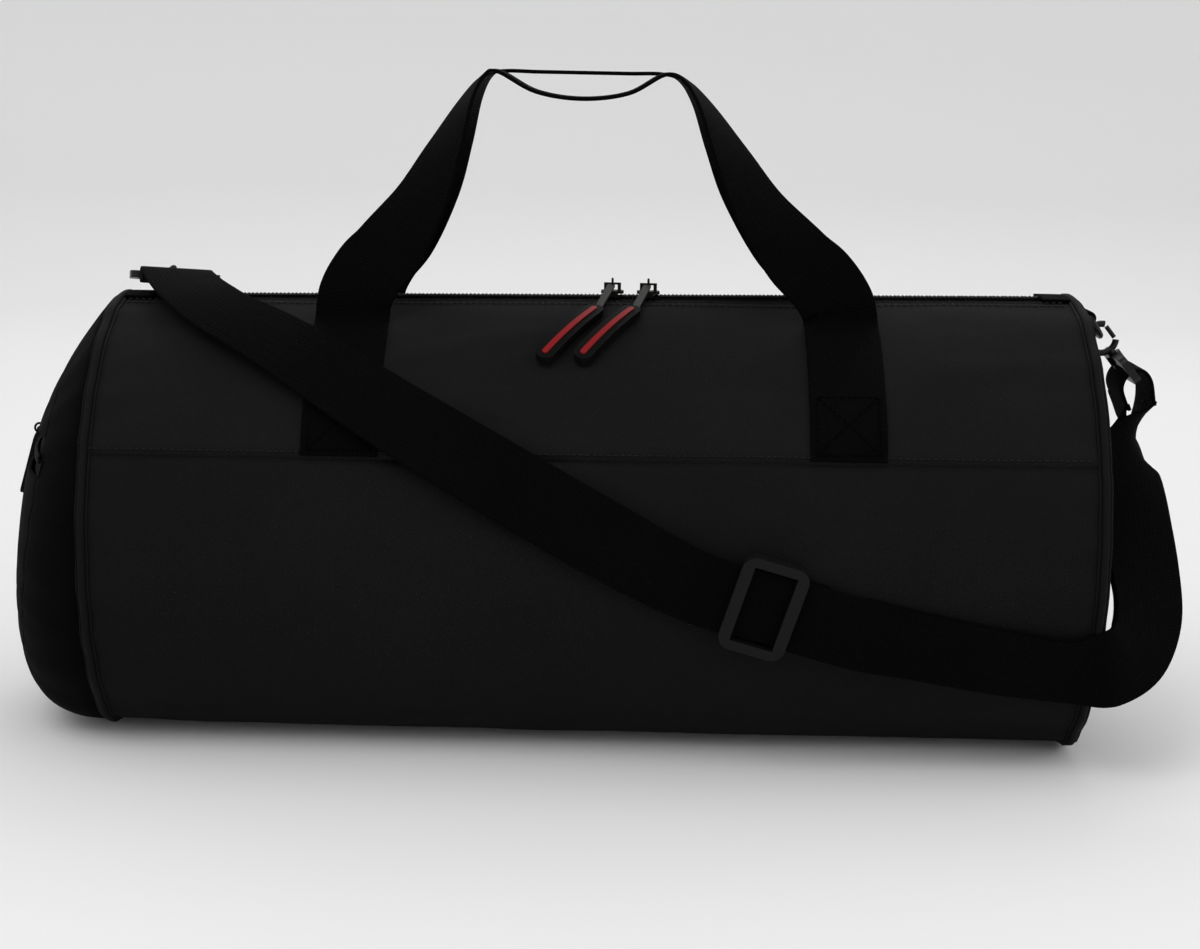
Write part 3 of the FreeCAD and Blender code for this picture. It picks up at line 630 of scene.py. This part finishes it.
@dataclass
class BagForm:
    """The stuffed outer form that every sewn piece follows."""
    half_length: float = 0.25
    radius: float = 0.118
    axis_height: float = 0.110
    taper: float = 0.0028
    wrinkle: float = 0.0011
    pull_limit: float = 0.0

    def point(self, x: float, angle: float, lift: float = 0.0) -> Vector:
        """Point on the cloth.

        Args:
            x: Station along the bag.
            angle: Radians from the top towards the front.
            lift: Distance above the cloth.

        Returns:
            The point, never below the floor.
        """
        share = max(-1.0, min(1.0, x / self.half_length))
        rise = self.taper * share + self.relief(x, angle)
        if rise > self.pull_limit:
            rise = self.pull_limit + (rise - self.pull_limit) * (1.0 - self.pull_path(x, angle))
        radius = self.radius + lift + rise
        y = -radius * math.sin(angle)
        z = self.axis_height + self.taper * share * 0.4 + radius * math.cos(angle)
        floor = 0.0004 - min(lift, 0.0)
        if z < floor + 0.010:
            z = floor + 0.010 * math.exp((z - floor - 0.010) / 0.010)
        return Vector((x, y, z))

    def relief(self, x: float, angle: float) -> float:
        """Height of the cloth's puckers and soft dents at a place.

        Args:
            x: Station along the bag.
            angle: Radians from the top towards the front.

        Returns:
            The height over the plain round form.
        """
        end = max(0.0, 1.0 - (self.half_length - abs(x)) / 0.06)
        wander = 3.1 * noise.noise(Vector((x * 9, angle * 2, 1.7)))
        pucker = math.sin(angle * 23 + wander) * 0.0007 * end ** 1.5
        broad = noise.noise(Vector((x * 7.0, angle * 1.3, 4.2))) * self.wrinkle * 1.5
        crease = noise.noise(Vector((x * 16.0 + angle * 3, angle * 5.0, 9.1)))
        fine = noise.noise(Vector((x * 44.0, angle * 10.0, 2.2))) * self.wrinkle * 0.22
        seam = self.seam_dip(angle)
        away = math.atan2(math.sin(angle), math.cos(angle))
        calm = 1.0 - math.exp(-(away / 0.24) ** 4)
        return (pucker + broad + fine + max(0.0, crease - 0.12) * self.wrinkle * 1.7) * calm - seam

    @staticmethod
    def pull_path(x: float, angle: float) -> float:
        """Share of the place that the zip pulls sweep over, from 0 to 1.

        Args:
            x: Station along the bag.
            angle: Radians from the top towards the front.

        Returns:
            1 under the pulls, 0 away from them.
        """
        along = min(1.0, max(0.0, (0.150 - abs(x)) / 0.030))
        nearest = abs(math.degrees(angle) - 28.0)
        return along * min(1.0, max(0.0, (26.0 - nearest) / 8.0))

    @staticmethod
    def seam_dip(angle: float) -> float:
        """How far the cloth is pulled in at a long side seam."""
        nearest = abs(abs(math.atan2(math.sin(angle), math.cos(angle))) - SIDE_SEAM)
        return 0.0013 * math.exp(-(nearest / 0.022) ** 2)

    def out(self, point: Vector) -> Vector:
        """Outward direction from the bag's axis."""
        return Vector((0.0, point.y, point.z - self.axis_height)).normalized()


@dataclass
class BodyPanels:
    """The lower panel, the two upper panels and the long seams' stitching."""
    form: BagForm
    closet: Wardrobe
    cell: float = 0.004
    cloth: float = 0.0022

    def panel(self, name: str, low: float, high: float, finish: str) -> None:
        """Build one cloth panel, riding on the bag.

        Args:
            name: The CAD node that it stands for.
            low: First angle.
            high: Last angle.
            finish: The material's name.
        """
        columns = int(2 * SEAM_X / self.cell)
        lines = max(6, int((high - low) * self.form.radius / self.cell))
        rows, uvs = [], []
        for i in range(lines + 1):
            angle = low + (high - low) * i / lines
            row, uv = [], []
            for j in range(columns + 1):
                x = -SEAM_X + 2 * SEAM_X * j / columns
                row.append(self.form.point(x, angle))
                uv.append((x, angle * self.form.radius))
            rows.append(row)
            uvs.append(uv)
        piece = publish("cloth_" + name, grid_mesh(name, rows, uvs))
        piece.data.flip_normals()
        thicken(piece, self.cloth)
        self.closet.settle(piece, finish, finish, name)

    def seam_stitches(self, side: int) -> None:
        """Sew a topstitch just above a side seam."""
        path = [self.form.point(-SEAM_X + STITCH_STEP * k, side * (SIDE_SEAM - 0.028), THREAD_LIFT)
                for k in range(STITCH_POINTS)]
        row = stitches("side_stitch_front" if side > 0 else "side_stitch_back", path, self.form.out)
        self.closet.settle(row, "thread", "upper_cloth")

    def build(self) -> None:
        """Build every panel."""
        edge = TAPE_HALF / self.form.radius
        self.panel("lower_panel", SIDE_SEAM, 2 * math.pi - SIDE_SEAM, "lower_cloth")
        self.panel("front_upper_panel", edge, SIDE_SEAM, "upper_cloth")
        self.panel("back_upper_panel", -SIDE_SEAM, -edge, "upper_cloth")
        for side in (-1, 1):
            self.seam_stitches(side)
        log.info("body panels built")


@dataclass
class Ends:
    """Piping, the domed right end, and the puffed pocket on the left end."""
    form: BagForm
    closet: Wardrobe
    around: int = 120
    rings: int = 30
    cloth: float = 0.0016
    seam: float = 0.25
    pocket_depth: float = 0.050
    pocket_puff: float = 0.0028
    belly: float = 0.075
    face_radius: float = 0.096
    zip_height: float = 0.150
    zip_tape: float = 0.009
    divider_set_in: float = 0.0015

    def ring(self, x: float, lift: float) -> Row:
        """Points round the bag at a station.

        Args:
            x: The station.
            lift: Distance above the cloth.

        Returns:
            The closed ring's points.
        """
        return [self.form.point(x, 2 * math.pi * k / self.around, lift) for k in range(self.around)]

    def piping(self, name: str, x: float) -> None:
        """Build a corded piping with its flanges.

        Args:
            name: The CAD node that it stands for.
            x: Station of the seam.
        """
        parts = []
        for offset, radius, lift in ((0.0, 0.0021, 0.0006), (-0.0026, 0.0009, 0.0), (0.0026, 0.0009, 0.0)):
            path = [Vector((p.x, p.y, max(p.z, radius + 0.0002))) for p in self.ring(x + offset, lift)]
            parts.append(publish(name + "_cord", tube_mesh(name, path, radius, closed=True)))
        self.closet.settle(join("cord_" + name, parts), "piping", "piping", name)

    def dome(self, name: str, x: float, way: int, depth: Callable[[float, float], float], start: float,
             stop: float) -> bpy.types.Mesh:
        """Build part of a domed end.

        Args:
            name: The mesh's name.
            x: Station of the seam.
            way: +1 bulges towards +X.
            depth: Bulge at a share of the radius and an angle.
            start: Outer share of the radius.
            stop: Inner share of the radius.

        Returns:
            The mesh of that band.
        """
        rows, uvs = [], []
        for i in range(self.rings + 1):
            share = start + (stop - start) * i / self.rings
            row, uv = [], []
            for k in range(self.around):
                angle = 2 * math.pi * k / self.around
                rim = self.form.point(x, angle)
                y = rim.y * share
                z = self.form.axis_height + (rim.z - self.form.axis_height) * share
                row.append(Vector((x + way * depth(share, angle), y, z)))
                uv.append((y, z))
            rows.append(row)
            uvs.append(uv)
        return grid_mesh(name, rows, uvs, wrap=True)

    def pocket_bulge(self, share: float, angle: float) -> float:
        """Depth of the sagging pocket at a place on its face.

        Args:
            share: Share of the radius.
            angle: Radians from the top towards the front.

        Returns:
            The depth in front of the seam.
        """
        rim = self.form.point(-self.seam, angle)
        y = rim.y * share
        z = self.form.axis_height + (rim.z - self.form.axis_height) * share
        rise = BODY_TOP - self.belly
        radius = (rise ** 2 + POCKET_DROP ** 2) / (2 * POCKET_DROP)
        inside = max(0.0, radius ** 2 - y * y - (z - self.belly) ** 2)
        dome = self.pocket_depth - (radius - math.sqrt(inside))
        upper = 0.5 + 0.5 * math.cos(angle)
        edge = max(0.0, 1.0 - share ** (9 - 3 * upper)) ** (0.42 + 0.22 * upper)
        pucker = math.sin(angle * 31 + 2 * noise.noise(Vector((angle * 3, 0.0, 5.0))))
        pucker = pucker * 0.0009 * max(0.0, share - 0.55) / 0.45
        soft = noise.noise(Vector((y * 14, z * 14, 3.3))) * 0.0016 * (1 - share ** 4)
        return self.pocket_puff + max(0.0, dome) * edge + pucker * edge + soft

    def pocket(self) -> None:
        """Build the pocket's gusset and its two faces, split by the zip."""
        face_share = self.face_radius / self.form.radius
        band = self.dome("gusset", -self.seam, -1, self.pocket_bulge, 1.0, face_share)
        self.finish_cloth(publish("cloth_pocket_gusset", band), "pocket_gusset")
        zip_low, zip_high = self.zip_height - self.zip_tape, self.zip_height + self.zip_tape
        for name, low, high in (("pocket_lower_face", -1.0, zip_low), ("pocket_upper_face", zip_high, 1.0)):
            mesh = self.dome(name, -self.seam, -1, self.pocket_bulge, face_share, 0.0)
            piece = publish("cloth_" + name, mesh)
            self.cut(piece, low, high)
            self.finish_cloth(piece, name)
        inner = self.dome("divider", -self.seam - self.divider_set_in, 1, lambda s, a: 0.001, 0.97, 0.0)
        self.finish_cloth(publish("cloth_pocket_divider", inner), "pocket_divider")

    def cut(self, piece: bpy.types.Object, low: float, high: float) -> None:
        """Keep only the part of a sheet between two heights.

        Args:
            piece: The sheet.
            low: The lower height.
            high: The upper height.
        """
        work = bmesh.new()
        work.from_mesh(piece.data)
        for height, direction in ((low, -1), (high, 1)):
            geometry = work.verts[:] + work.edges[:] + work.faces[:]
            bmesh.ops.bisect_plane(work, geom=geometry, plane_co=(0, 0, height),
                                   plane_no=(0, 0, direction), clear_outer=True, dist=1e-7)
        bmesh.ops.remove_doubles(work, verts=work.verts[:], dist=1e-6)
        work.to_mesh(piece.data)
        work.free()

    def finish_cloth(self, piece: bpy.types.Object, node: str) -> None:
        """Thicken, dress and place one end panel.

        Args:
            piece: The panel as a sheet.
            node: The CAD node that it stands for.
        """
        work = bmesh.new()
        work.from_mesh(piece.data)
        bmesh.ops.remove_doubles(work, verts=work.verts[:], dist=1e-6)
        bmesh.ops.recalc_face_normals(work, faces=work.faces[:])
        work.to_mesh(piece.data)
        work.free()
        thicken(piece, self.cloth, offset=0.0)
        self.closet.settle(piece, "end_cloth", "end_cloth", node)

    def right_bulge(self, share: float, angle: float) -> float:
        """Depth of the right end panel at a place."""
        swell = 0.008 * max(0.0, 1 - share ** 2.2) + 0.0022 * max(0.0, 1 - share ** 14)
        return swell + noise.noise(Vector((share * 3, angle, 7.7))) * 0.0008 * (1 - share)

    def build(self) -> None:
        """Build both ends."""
        self.piping("left_piping", -self.seam)
        self.piping("right_piping", self.seam)
        right = self.dome("right_end", self.seam, 1, self.right_bulge, 1.0, 0.0)
        self.finish_cloth(publish("cloth_right_end_panel", right), "right_end_panel")
        self.pocket()
        log.info("ends built")


@dataclass
class Zips:
    """Tapes and coils of the main zip and of the pocket's zip."""
    form: BagForm
    closet: Wardrobe
    pitch: float = 0.0021
    coil_width: float = 0.0011
    coil_height: float = 0.00085
    wire: float = 0.00042
    core: float = 0.00075

    def tape(self, name: str, low: float, high: float) -> None:
        """Build one tape of the main zip, lying flat between the upper panels.

        Args:
            name: The CAD node that it stands for.
            low: Distance of its back edge in front of the zip's middle.
            high: Distance of its front edge in front of the zip's middle.
        """
        rows, uvs = [], []
        for i in range(8):
            offset = low + (high - low) * i / 7
            row, uv = [], []
            for k in range(STITCH_POINTS):
                x = -SEAM_X + 2 * SEAM_X * k / (STITCH_POINTS - 1)
                row.append(self.form.point(x, offset / self.form.radius, -0.0006))
                uv.append((offset, x))
            rows.append(row)
            uvs.append(uv)
        piece = publish("woven_" + name, grid_mesh(name, rows, uvs))
        piece.data.flip_normals()
        thicken(piece, 0.0009)
        self.closet.settle(piece, "zip_tape", "zip_tape", name)

    def coil(self, name: str, path: Row, out: Callable[[Vector], Vector], lean: int) -> bpy.types.Object:
        """Wind a zip coil along a path.

        Args:
            name: The piece's name.
            path: Points along the coil's middle.
            out: Gives the outward direction at a point.
            lean: Which way the loops lean.

        Returns:
            The coil.
        """
        winding = []
        travelled = 0.0
        for a, b in zip(path, path[1:]):
            span = (b - a).length
            steps = max(1, int(span / (self.pitch / 7)))
            along = (b - a).normalized()
            for k in range(steps):
                point = a.lerp(b, k / steps)
                turn = 2 * math.pi * (travelled + span * k / steps) / self.pitch
                up = out(point)
                side = up.cross(along).normalized()
                sideways = side * (lean * self.coil_width * math.cos(turn))
                winding.append(point + sideways + up * (self.coil_height * math.sin(turn)))
            travelled += span
        return publish(name, tube_mesh(name, winding, self.wire, closed=False, sides=5))

    def build(self) -> None:
        """Build both zips."""
        self.tape("front_zip_tape", 0.0009, TAPE_HALF)
        self.tape("back_zip_tape", -TAPE_HALF, -0.0009)
        for name, side in (("front_zip_coil", 1), ("back_zip_coil", -1)):
            path = [self.form.point(-0.2335 + 0.467 * k / 160, side * 0.0011 / self.form.radius, 0.0006)
                    for k in range(161)]
            wound = self.coil("wound_" + name, path, self.form.out, side)
            core = publish("core_" + name, tube_mesh("core", path, self.core, closed=False, sides=8))
            self.closet.settle(join("wound_" + name, [wound, core]), "zip_coil", "zip_coil", name)
        for side in (-1, 1):
            for offset in (TAPE_HALF + 0.0016, TAPE_HALF + 0.0075):
                angle = side * offset / self.form.radius
                path = [self.form.point(-SEAM_X + STITCH_STEP * k, angle, THREAD_LIFT)
                        for k in range(STITCH_POINTS)]
                row = stitches("zip_stitch", path, self.form.out)
                self.closet.settle(row, "thread", "upper_cloth")
        self.pocket_zip()
        for node, x in (("left_zip_stop", -0.2405), ("right_zip_stop", 0.2405)):
            stations = [(self.form.point(x, a / self.form.radius, 0.0016), Vector((1, 0, 0)))
                        for a in (-0.0145, -0.007, 0.0, 0.007, 0.0145)]
            stop = Webbing("tab_" + node, stations, width=0.0138, thickness=0.0014, steps=4).build()
            self.closet.settle(stop, "webbing", "webbing", node)
        log.info("zips built")

    def pocket_zip(self) -> None:
        """Dress the pocket's tapes and wind its coils on their own arc."""
        centre = Vector((-0.0174, 0.0, 0.075))
        for node in ("pocket_zip_tapes", "pocket_zip_coils"):
            low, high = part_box(node)
            log.info("%s spans %.3f to %.3f m", node, low[1], high[1])
        self.closet.dress_node("pocket_zip_tapes", "zip_tape")
        parts = []
        reach = math.sqrt(0.2834 ** 2 - 0.075 ** 2)
        for side in (-1, 1):
            height = 0.150 + side * 0.0011
            half = math.asin(0.086 / reach)
            turns = [half * (k / 60 - 1) for k in range(121)]
            path = [Vector((centre.x - reach * math.cos(t), reach * math.sin(t), height)) for t in turns]
            parts.append(self.coil("wound_pocket", path, lambda p: (p - centre).normalized(), side))
            parts.append(publish("core_pocket", tube_mesh("core", path, self.core, closed=False, sides=8)))
        coils = join("wound_pocket_zip_coils", parts)
        self.closet.settle(coils, "zip_coil", "zip_coil", "pocket_zip_coils")


# ---------------------------------------------------------------- handles and strap

@dataclass
class Handles:
    """The two carry handles: sewn feet, free webbing, and box stitching."""
    form: BagForm
    closet: Wardrobe
    foot_x: float = 0.125
    hinge_angle: float = math.radians(22.0)
    top: float = 0.345
    grip_left: float = -0.057
    grip_right: float = 0.038
    shape: list[tuple[float, float, float, float]] = field(default_factory=lambda: [
        (0.09, 0.03, 0.0, 1), (0.19, 0.13, 0.05, 4), (0.28, 0.27, 0.12, 10), (0.48, 0.50, 0.32, 38),
        (0.68, 0.66, 0.55, 58), (0.86, 0.80, 0.80, 76), (0.97, 0.93, 0.95, 86), (1.0, 1.06, 1.0, 90)])

    def leg(self, foot_x: float, corner_x: float) -> list[Station]:
        """Stations from the foot's lower end up to the grip's corner.

        Args:
            foot_x: Station of the foot's middle.
            corner_x: Station of the grip's corner.

        Returns:
            The stations.
        """
        stations = []
        for k in range(8):
            angle = SIDE_SEAM - 0.012 - (SIDE_SEAM - 0.012 - self.hinge_angle) * k / 7
            stations.append((self.form.point(foot_x, angle, 0.0011), Vector((1, 0, 0))))
        hinge = Vector((0, -0.0446, 0.2203))
        grip_y = -0.020
        reach = corner_x - foot_x
        way = math.copysign(1, reach)
        for up, along, lean, turn in self.shape:
            angle = math.radians(turn)
            point = Vector((foot_x + reach * along, hinge.y + (grip_y - hinge.y) * lean,
                            hinge.z + (self.top - hinge.z) * up))
            stations.append((point, Vector((math.cos(angle), -way * math.sin(angle), 0))))
        return stations

    def loop(self, side: str, sag: float) -> None:
        """Build one handle.

        Args:
            side: Front or back.
            sag: How far its grip hangs down.
        """
        left = self.leg(-self.foot_x, self.grip_left)
        right = [(p, w * -1) for p, w in reversed(self.leg(self.foot_x, self.grip_right))]
        middle = []
        for share in (0.25, 0.5, 0.75):
            x = self.grip_left + (self.grip_right - self.grip_left) * share
            drop = sag * (1 - (2 * share - 1) ** 2)
            middle.append((Vector((x, -0.020, self.top - drop)), Vector((0, -1, 0))))
        stations = left + middle + right
        if side == "back":
            stations = [(Vector((p.x, -p.y, p.z)), Vector((w.x, -w.y, w.z))) for p, w in stations]
        handle = Webbing("webbing_" + side + "_handle", stations, steps=8).build()
        self.closet.dress(handle, "webbing")
        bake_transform(handle)
        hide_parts(side + "_handle", side + "_left_foot", side + "_right_foot")
        for name, x in (("left", -self.foot_x), ("right", self.foot_x)):
            self.box_stitch(side, name, x)

    def box_stitch(self, side: str, name: str, x: float) -> None:
        """Sew a crossed box through a handle's foot.

        Args:
            side: Front or back.
            name: Left or right.
            x: Station of the foot's middle.
        """
        sign = 1 if side == "front" else -1
        half = 0.0155
        low, high = SIDE_SEAM - 0.035, SIDE_SEAM - 0.035 - 0.031 / self.form.radius
        corners = [(x - half, low), (x + half, low), (x + half, high), (x - half, high), (x - half, low),
                   (x + half, high), (x + half, low), (x - half, high)]
        path = []
        for (xa, aa), (xb, ab) in zip(corners, corners[1:]):
            path += [self.form.point(xa + (xb - xa) * k / 12, sign * (aa + (ab - aa) * k / 12), 0.0021)
                     for k in range(13)]
        row = stitches(f"box_stitch_{side}_{name}", path, self.form.out)
        self.closet.settle(row, "webbing", "webbing")

    def build(self) -> None:
        """Build both handles."""
        self.loop("front", 0.013)
        self.loop("back", 0.0)
        log.info("handles built")


@dataclass
class ShoulderStrap:
    """The crossing strap, its sewn-back layer, its end loops and the adjuster's tail."""
    form: BagForm
    closet: Wardrobe
    lift: float = 0.0058
    straight_lift: float = 0.0062
    run: tuple[tuple[float, float, float], ...] = (
        (-0.216, 5.5, 62), (-0.205, 16.0, 58), (-0.190, 25.0, 50), (-0.168, 33.0, 40), (-0.143, 41.8, 36),
        (-0.103, 55.0, 32), (-0.050, 69.8, 29), (0.002, 83.2, 27))
    past: tuple[tuple[float, float, float, float], ...] = (
        (0.164, 109.0, 10, 0.0), (0.202, 112.4, 7, 0.001), (0.238, 114.0, 2, 0.003))

    def lying(self, x: float, angle: float, slope: float, lift: float) -> Station:
        """Centre and width direction of webbing that lies on the bag.

        Args:
            x: Station along the bag.
            angle: Degrees from the top towards the front.
            slope: Slope of the webbing in degrees.
            lift: Distance above the round section.

        Returns:
            The station.
        """
        turn, slant = math.radians(angle), math.radians(slope)
        down = Vector((0, -math.cos(turn), -math.sin(turn)))
        across = Vector((math.sin(slant), 0, 0)) - down * math.cos(slant)
        return self.on_round(x, angle, lift), across

    def on_round(self, x: float, angle: float, lift: float) -> Vector:
        """Point over the plain round section."""
        turn = math.radians(angle)
        radius = self.form.radius + lift
        return Vector((x, -radius * math.sin(turn), self.form.axis_height + radius * math.cos(turn)))

    def straight(self) -> list[Station]:
        """The stretch that the adjuster slides on."""
        start = self.on_round(0.050, 94.5, self.straight_lift)
        end = self.on_round(0.132, 105.6, self.straight_lift)
        turn = math.radians(100)
        across = Vector((0, -math.sin(turn), math.cos(turn))).cross(end - start).normalized()
        return [(start, across), (start.lerp(end, 0.5), across), (end, across)]

    def free(self) -> list[Station]:
        """The stretch that turns up past the bag's right end."""
        rows = [(258, -119, 62, 0.10, 0.05, 0.99), (272, -110, 70, -0.45, 0.15, 0.88),
                (280, -92, 86, -0.80, 0.10, 0.55), (281, -70, 106, -0.96, 0.0, 0.25),
                (281, -44, 128, -1.0, -0.15, 0.1), (282, -22, 147, -0.85, -0.5, 0.0),
                (286, -8, 161, -0.45, -0.9, 0.0)]
        return [(Vector(r[:3]) / 1000, Vector(r[3:])) for r in rows]

    def left_loop(self) -> list[Station]:
        """Stations round the left swivel base's bar."""
        origin, a = Vector((-235.0, 52.6724, 228.3041)) / 1000, Vector((0.2549, -0.9566, 0.1415))
        b, n = Vector((0.9667, 0.2484, -0.0619)), Vector((0.0241, 0.1526, 0.988))
        bar = 0.026
        half = [(bar + 0.020, 0.00115), (bar + 0.008, 0.0030), (bar, 0.0035), (bar - 0.0028, 0.0030),
                (bar - 0.0039, 0.0012)]
        profile = [(s, -t) for s, t in half] + half[::-1]
        return [(origin + a * s + n * t, b) for s, t in profile]

    def right_loop(self) -> list[Station]:
        """Stations round the right swivel base's bar."""
        bar = Vector((283.1783, 0.0, 192.6466))
        offsets = [(10, -17), (10, -8), (8, 0), (3.6, 4.2), (-2.4, 3.05), (-5.6, -0.9), (-6.5, -6),
                   (-4.5, -12), (-1.5, -19)]
        return [((bar + Vector((dx, 0, dz))) / 1000, Vector((0, -1, 0))) for dx, dz in offsets]

    def build(self) -> None:
        """Build every stretch of the strap."""
        lying = [self.lying(x, a, s, self.lift) for x, a, s in self.run]
        past = [self.lying(x, a, s, self.lift + extra) for x, a, s, extra in self.past]
        upper = self.straight() + past + self.free()
        doubled = self.under(upper)[2:]
        stations = self.left_loop() + lying + upper + self.right_loop() + doubled[::-1]
        self.closet.settle(Webbing("webbing_strap", stations).build(), "webbing", "webbing", "strap_webbing",
                           "strap_left_loop", "strap_right_loop", "strap_return_layer", body="shoulder_strap")
        low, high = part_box("adjuster_tail")
        log.info("adjuster tail spans %.3f to %.3f m", low[0], high[0])
        self.closet.dress_node("adjuster_tail", "webbing")
        log.info("shoulder strap built")

    @staticmethod
    def under(stations: list[Station], gap: float = 0.0024) -> list[Station]:
        """The same stations one layer further in.

        Args:
            stations: Stations of the outer layer.
            gap: Distance between the layers' middles.

        Returns:
            Stations of the inner layer.
        """
        moved = []
        last = len(stations) - 1
        for i, (centre, across) in enumerate(stations):
            tangent = (stations[min(i + 1, last)][0] - stations[max(i - 1, 0)][0]).normalized()
            moved.append((centre - tangent.cross(across).normalized() * gap, across))
        return moved


@dataclass
class Hardware:
    """The rigid pieces that keep their own shape and get their finish."""
    closet: Wardrobe
    finishes: dict[str, str] = field(default_factory=lambda: {
        "left_slider": "slider_metal", "right_slider": "slider_metal", "pocket_slider": "slider_metal",
        "left_pull_tab": "slider_metal", "right_pull_tab": "slider_metal", "left_pull_grip": "pull_rubber",
        "right_pull_grip": "pull_rubber", "pocket_pull": "pull_rubber", "left_pull_stripe": "pull_stripe",
        "right_pull_stripe": "pull_stripe", "adjuster": "adjuster_plastic", "left_ring": "hook_metal",
        "right_ring": "hook_metal", "left_hook": "hook_metal", "right_hook": "hook_metal",
        "left_hook_gate": "hook_metal", "right_hook_gate": "hook_metal", "left_swivel_base": "hook_metal",
        "right_swivel_base": "hook_metal", "left_ring_tab": "webbing", "right_ring_tab": "webbing"})

    def build(self) -> None:
        """Dress every rigid node."""
        for node, finish in self.finishes.items():
            self.closet.dress_node(node, finish)
        log.info("hardware dressed")


# ---------------------------------------------------------------- the studio

@dataclass
class Studio:
    """Pale floor, soft lights and the camera."""
    camera_place: tuple[float, float, float] = (0.0034, -1.2226, 0.350)
    pitch: float = math.radians(-10.08)
    roll: float = math.radians(1.16)
    lens: float = 69.36

    def camera(self) -> None:
        """Place the camera level with the handles, looking slightly down."""
        data = bpy.data.cameras.new("camera")
        data.lens = self.lens
        data.sensor_width = 36.0
        forward = Vector((0, math.cos(self.pitch), math.sin(self.pitch)))
        right = Vector((1, 0, 0))
        up = right.cross(forward)
        tilted = right * math.cos(self.roll) + up * math.sin(self.roll)
        upright = up * math.cos(self.roll) - right * math.sin(self.roll)
        turn = Matrix((tilted, upright, -forward)).transposed()
        camera = bpy.data.objects.new("camera", data)
        camera.matrix_world = Matrix.Translation(self.camera_place) @ turn.to_4x4()
        bpy.context.scene.collection.objects.link(camera)
        bpy.context.scene.camera = camera

    def floor(self) -> None:
        """Lay a pale sweep under and behind the bag."""
        rows, uvs = [], []
        profile = [(-14.0, 0.0), (2.0, 0.0), (3.0, 0.12), (3.7, 0.5), (4.1, 1.2), (4.2, 9.0)]
        for y, z in profile:
            rows.append([Vector((x, y, z)) for x in (-16.0, 16.0)])
            uvs.append([(x, y) for x in (-16.0, 16.0)])
        floor = publish("floor", grid_mesh("floor", rows, uvs))
        material = bpy.data.materials.new("pale_floor")
        material.use_nodes = True
        surface = material.node_tree.nodes["Principled BSDF"]
        surface.inputs["Base Color"].default_value = (0.78, 0.78, 0.78, 1.0)
        surface.inputs["Roughness"].default_value = 0.9
        surface.inputs["Specular IOR Level"].default_value = 0.1
        floor.data.materials.append(material)

    def light(self, name: str, place: tuple[float, float, float], size: float, power: float) -> None:
        """Hang one soft lamp that faces the bag.

        Args:
            name: The lamp's name.
            place: Where it hangs.
            size: Its diameter.
            power: Its power in watts.
        """
        data = bpy.data.lights.new(name, "AREA")
        data.shape = "DISK"
        data.size = size
        data.energy = power
        lamp = bpy.data.objects.new(name, data)
        lamp.location = place
        lamp.rotation_euler = (Vector((0, 0, 0.12)) - Vector(place)).to_track_quat("-Z", "Y").to_euler()
        bpy.context.scene.collection.objects.link(lamp)

    def build(self) -> None:
        """Set up the whole studio."""
        self.camera()
        self.floor()
        self.light("key", (-0.9, -1.6, 2.2), 1.8, 19.0)
        self.light("fill", (1.8, -1.4, 1.2), 2.0, 7.0)
        self.light("rim", (0.2, 1.6, 2.0), 1.6, 12.0)
        world = bpy.data.worlds.new("studio")
        world.use_nodes = True
        world.node_tree.nodes["Background"].inputs["Color"].default_value = (1.0, 1.0, 1.0, 1.0)
        world.node_tree.nodes["Background"].inputs["Strength"].default_value = 0.86
        bpy.context.scene.world = world
        bpy.context.scene.view_settings.view_transform = "Standard"
        log.info("studio set")


def main() -> None:
    """Build every sub-assembly in order and note the sizes."""
    logging.basicConfig(level=logging.INFO, format="%(message)s")
    Studio().build()
    closet = Wardrobe()
    form = BagForm()
    BodyPanels(form, closet).build()
    Ends(form, closet).build()
    Zips(form, closet).build()
    Handles(form, closet).build()
    ShoulderStrap(form, closet).build()
    Hardware(closet).build()


if __name__ == "__main__":
    main()
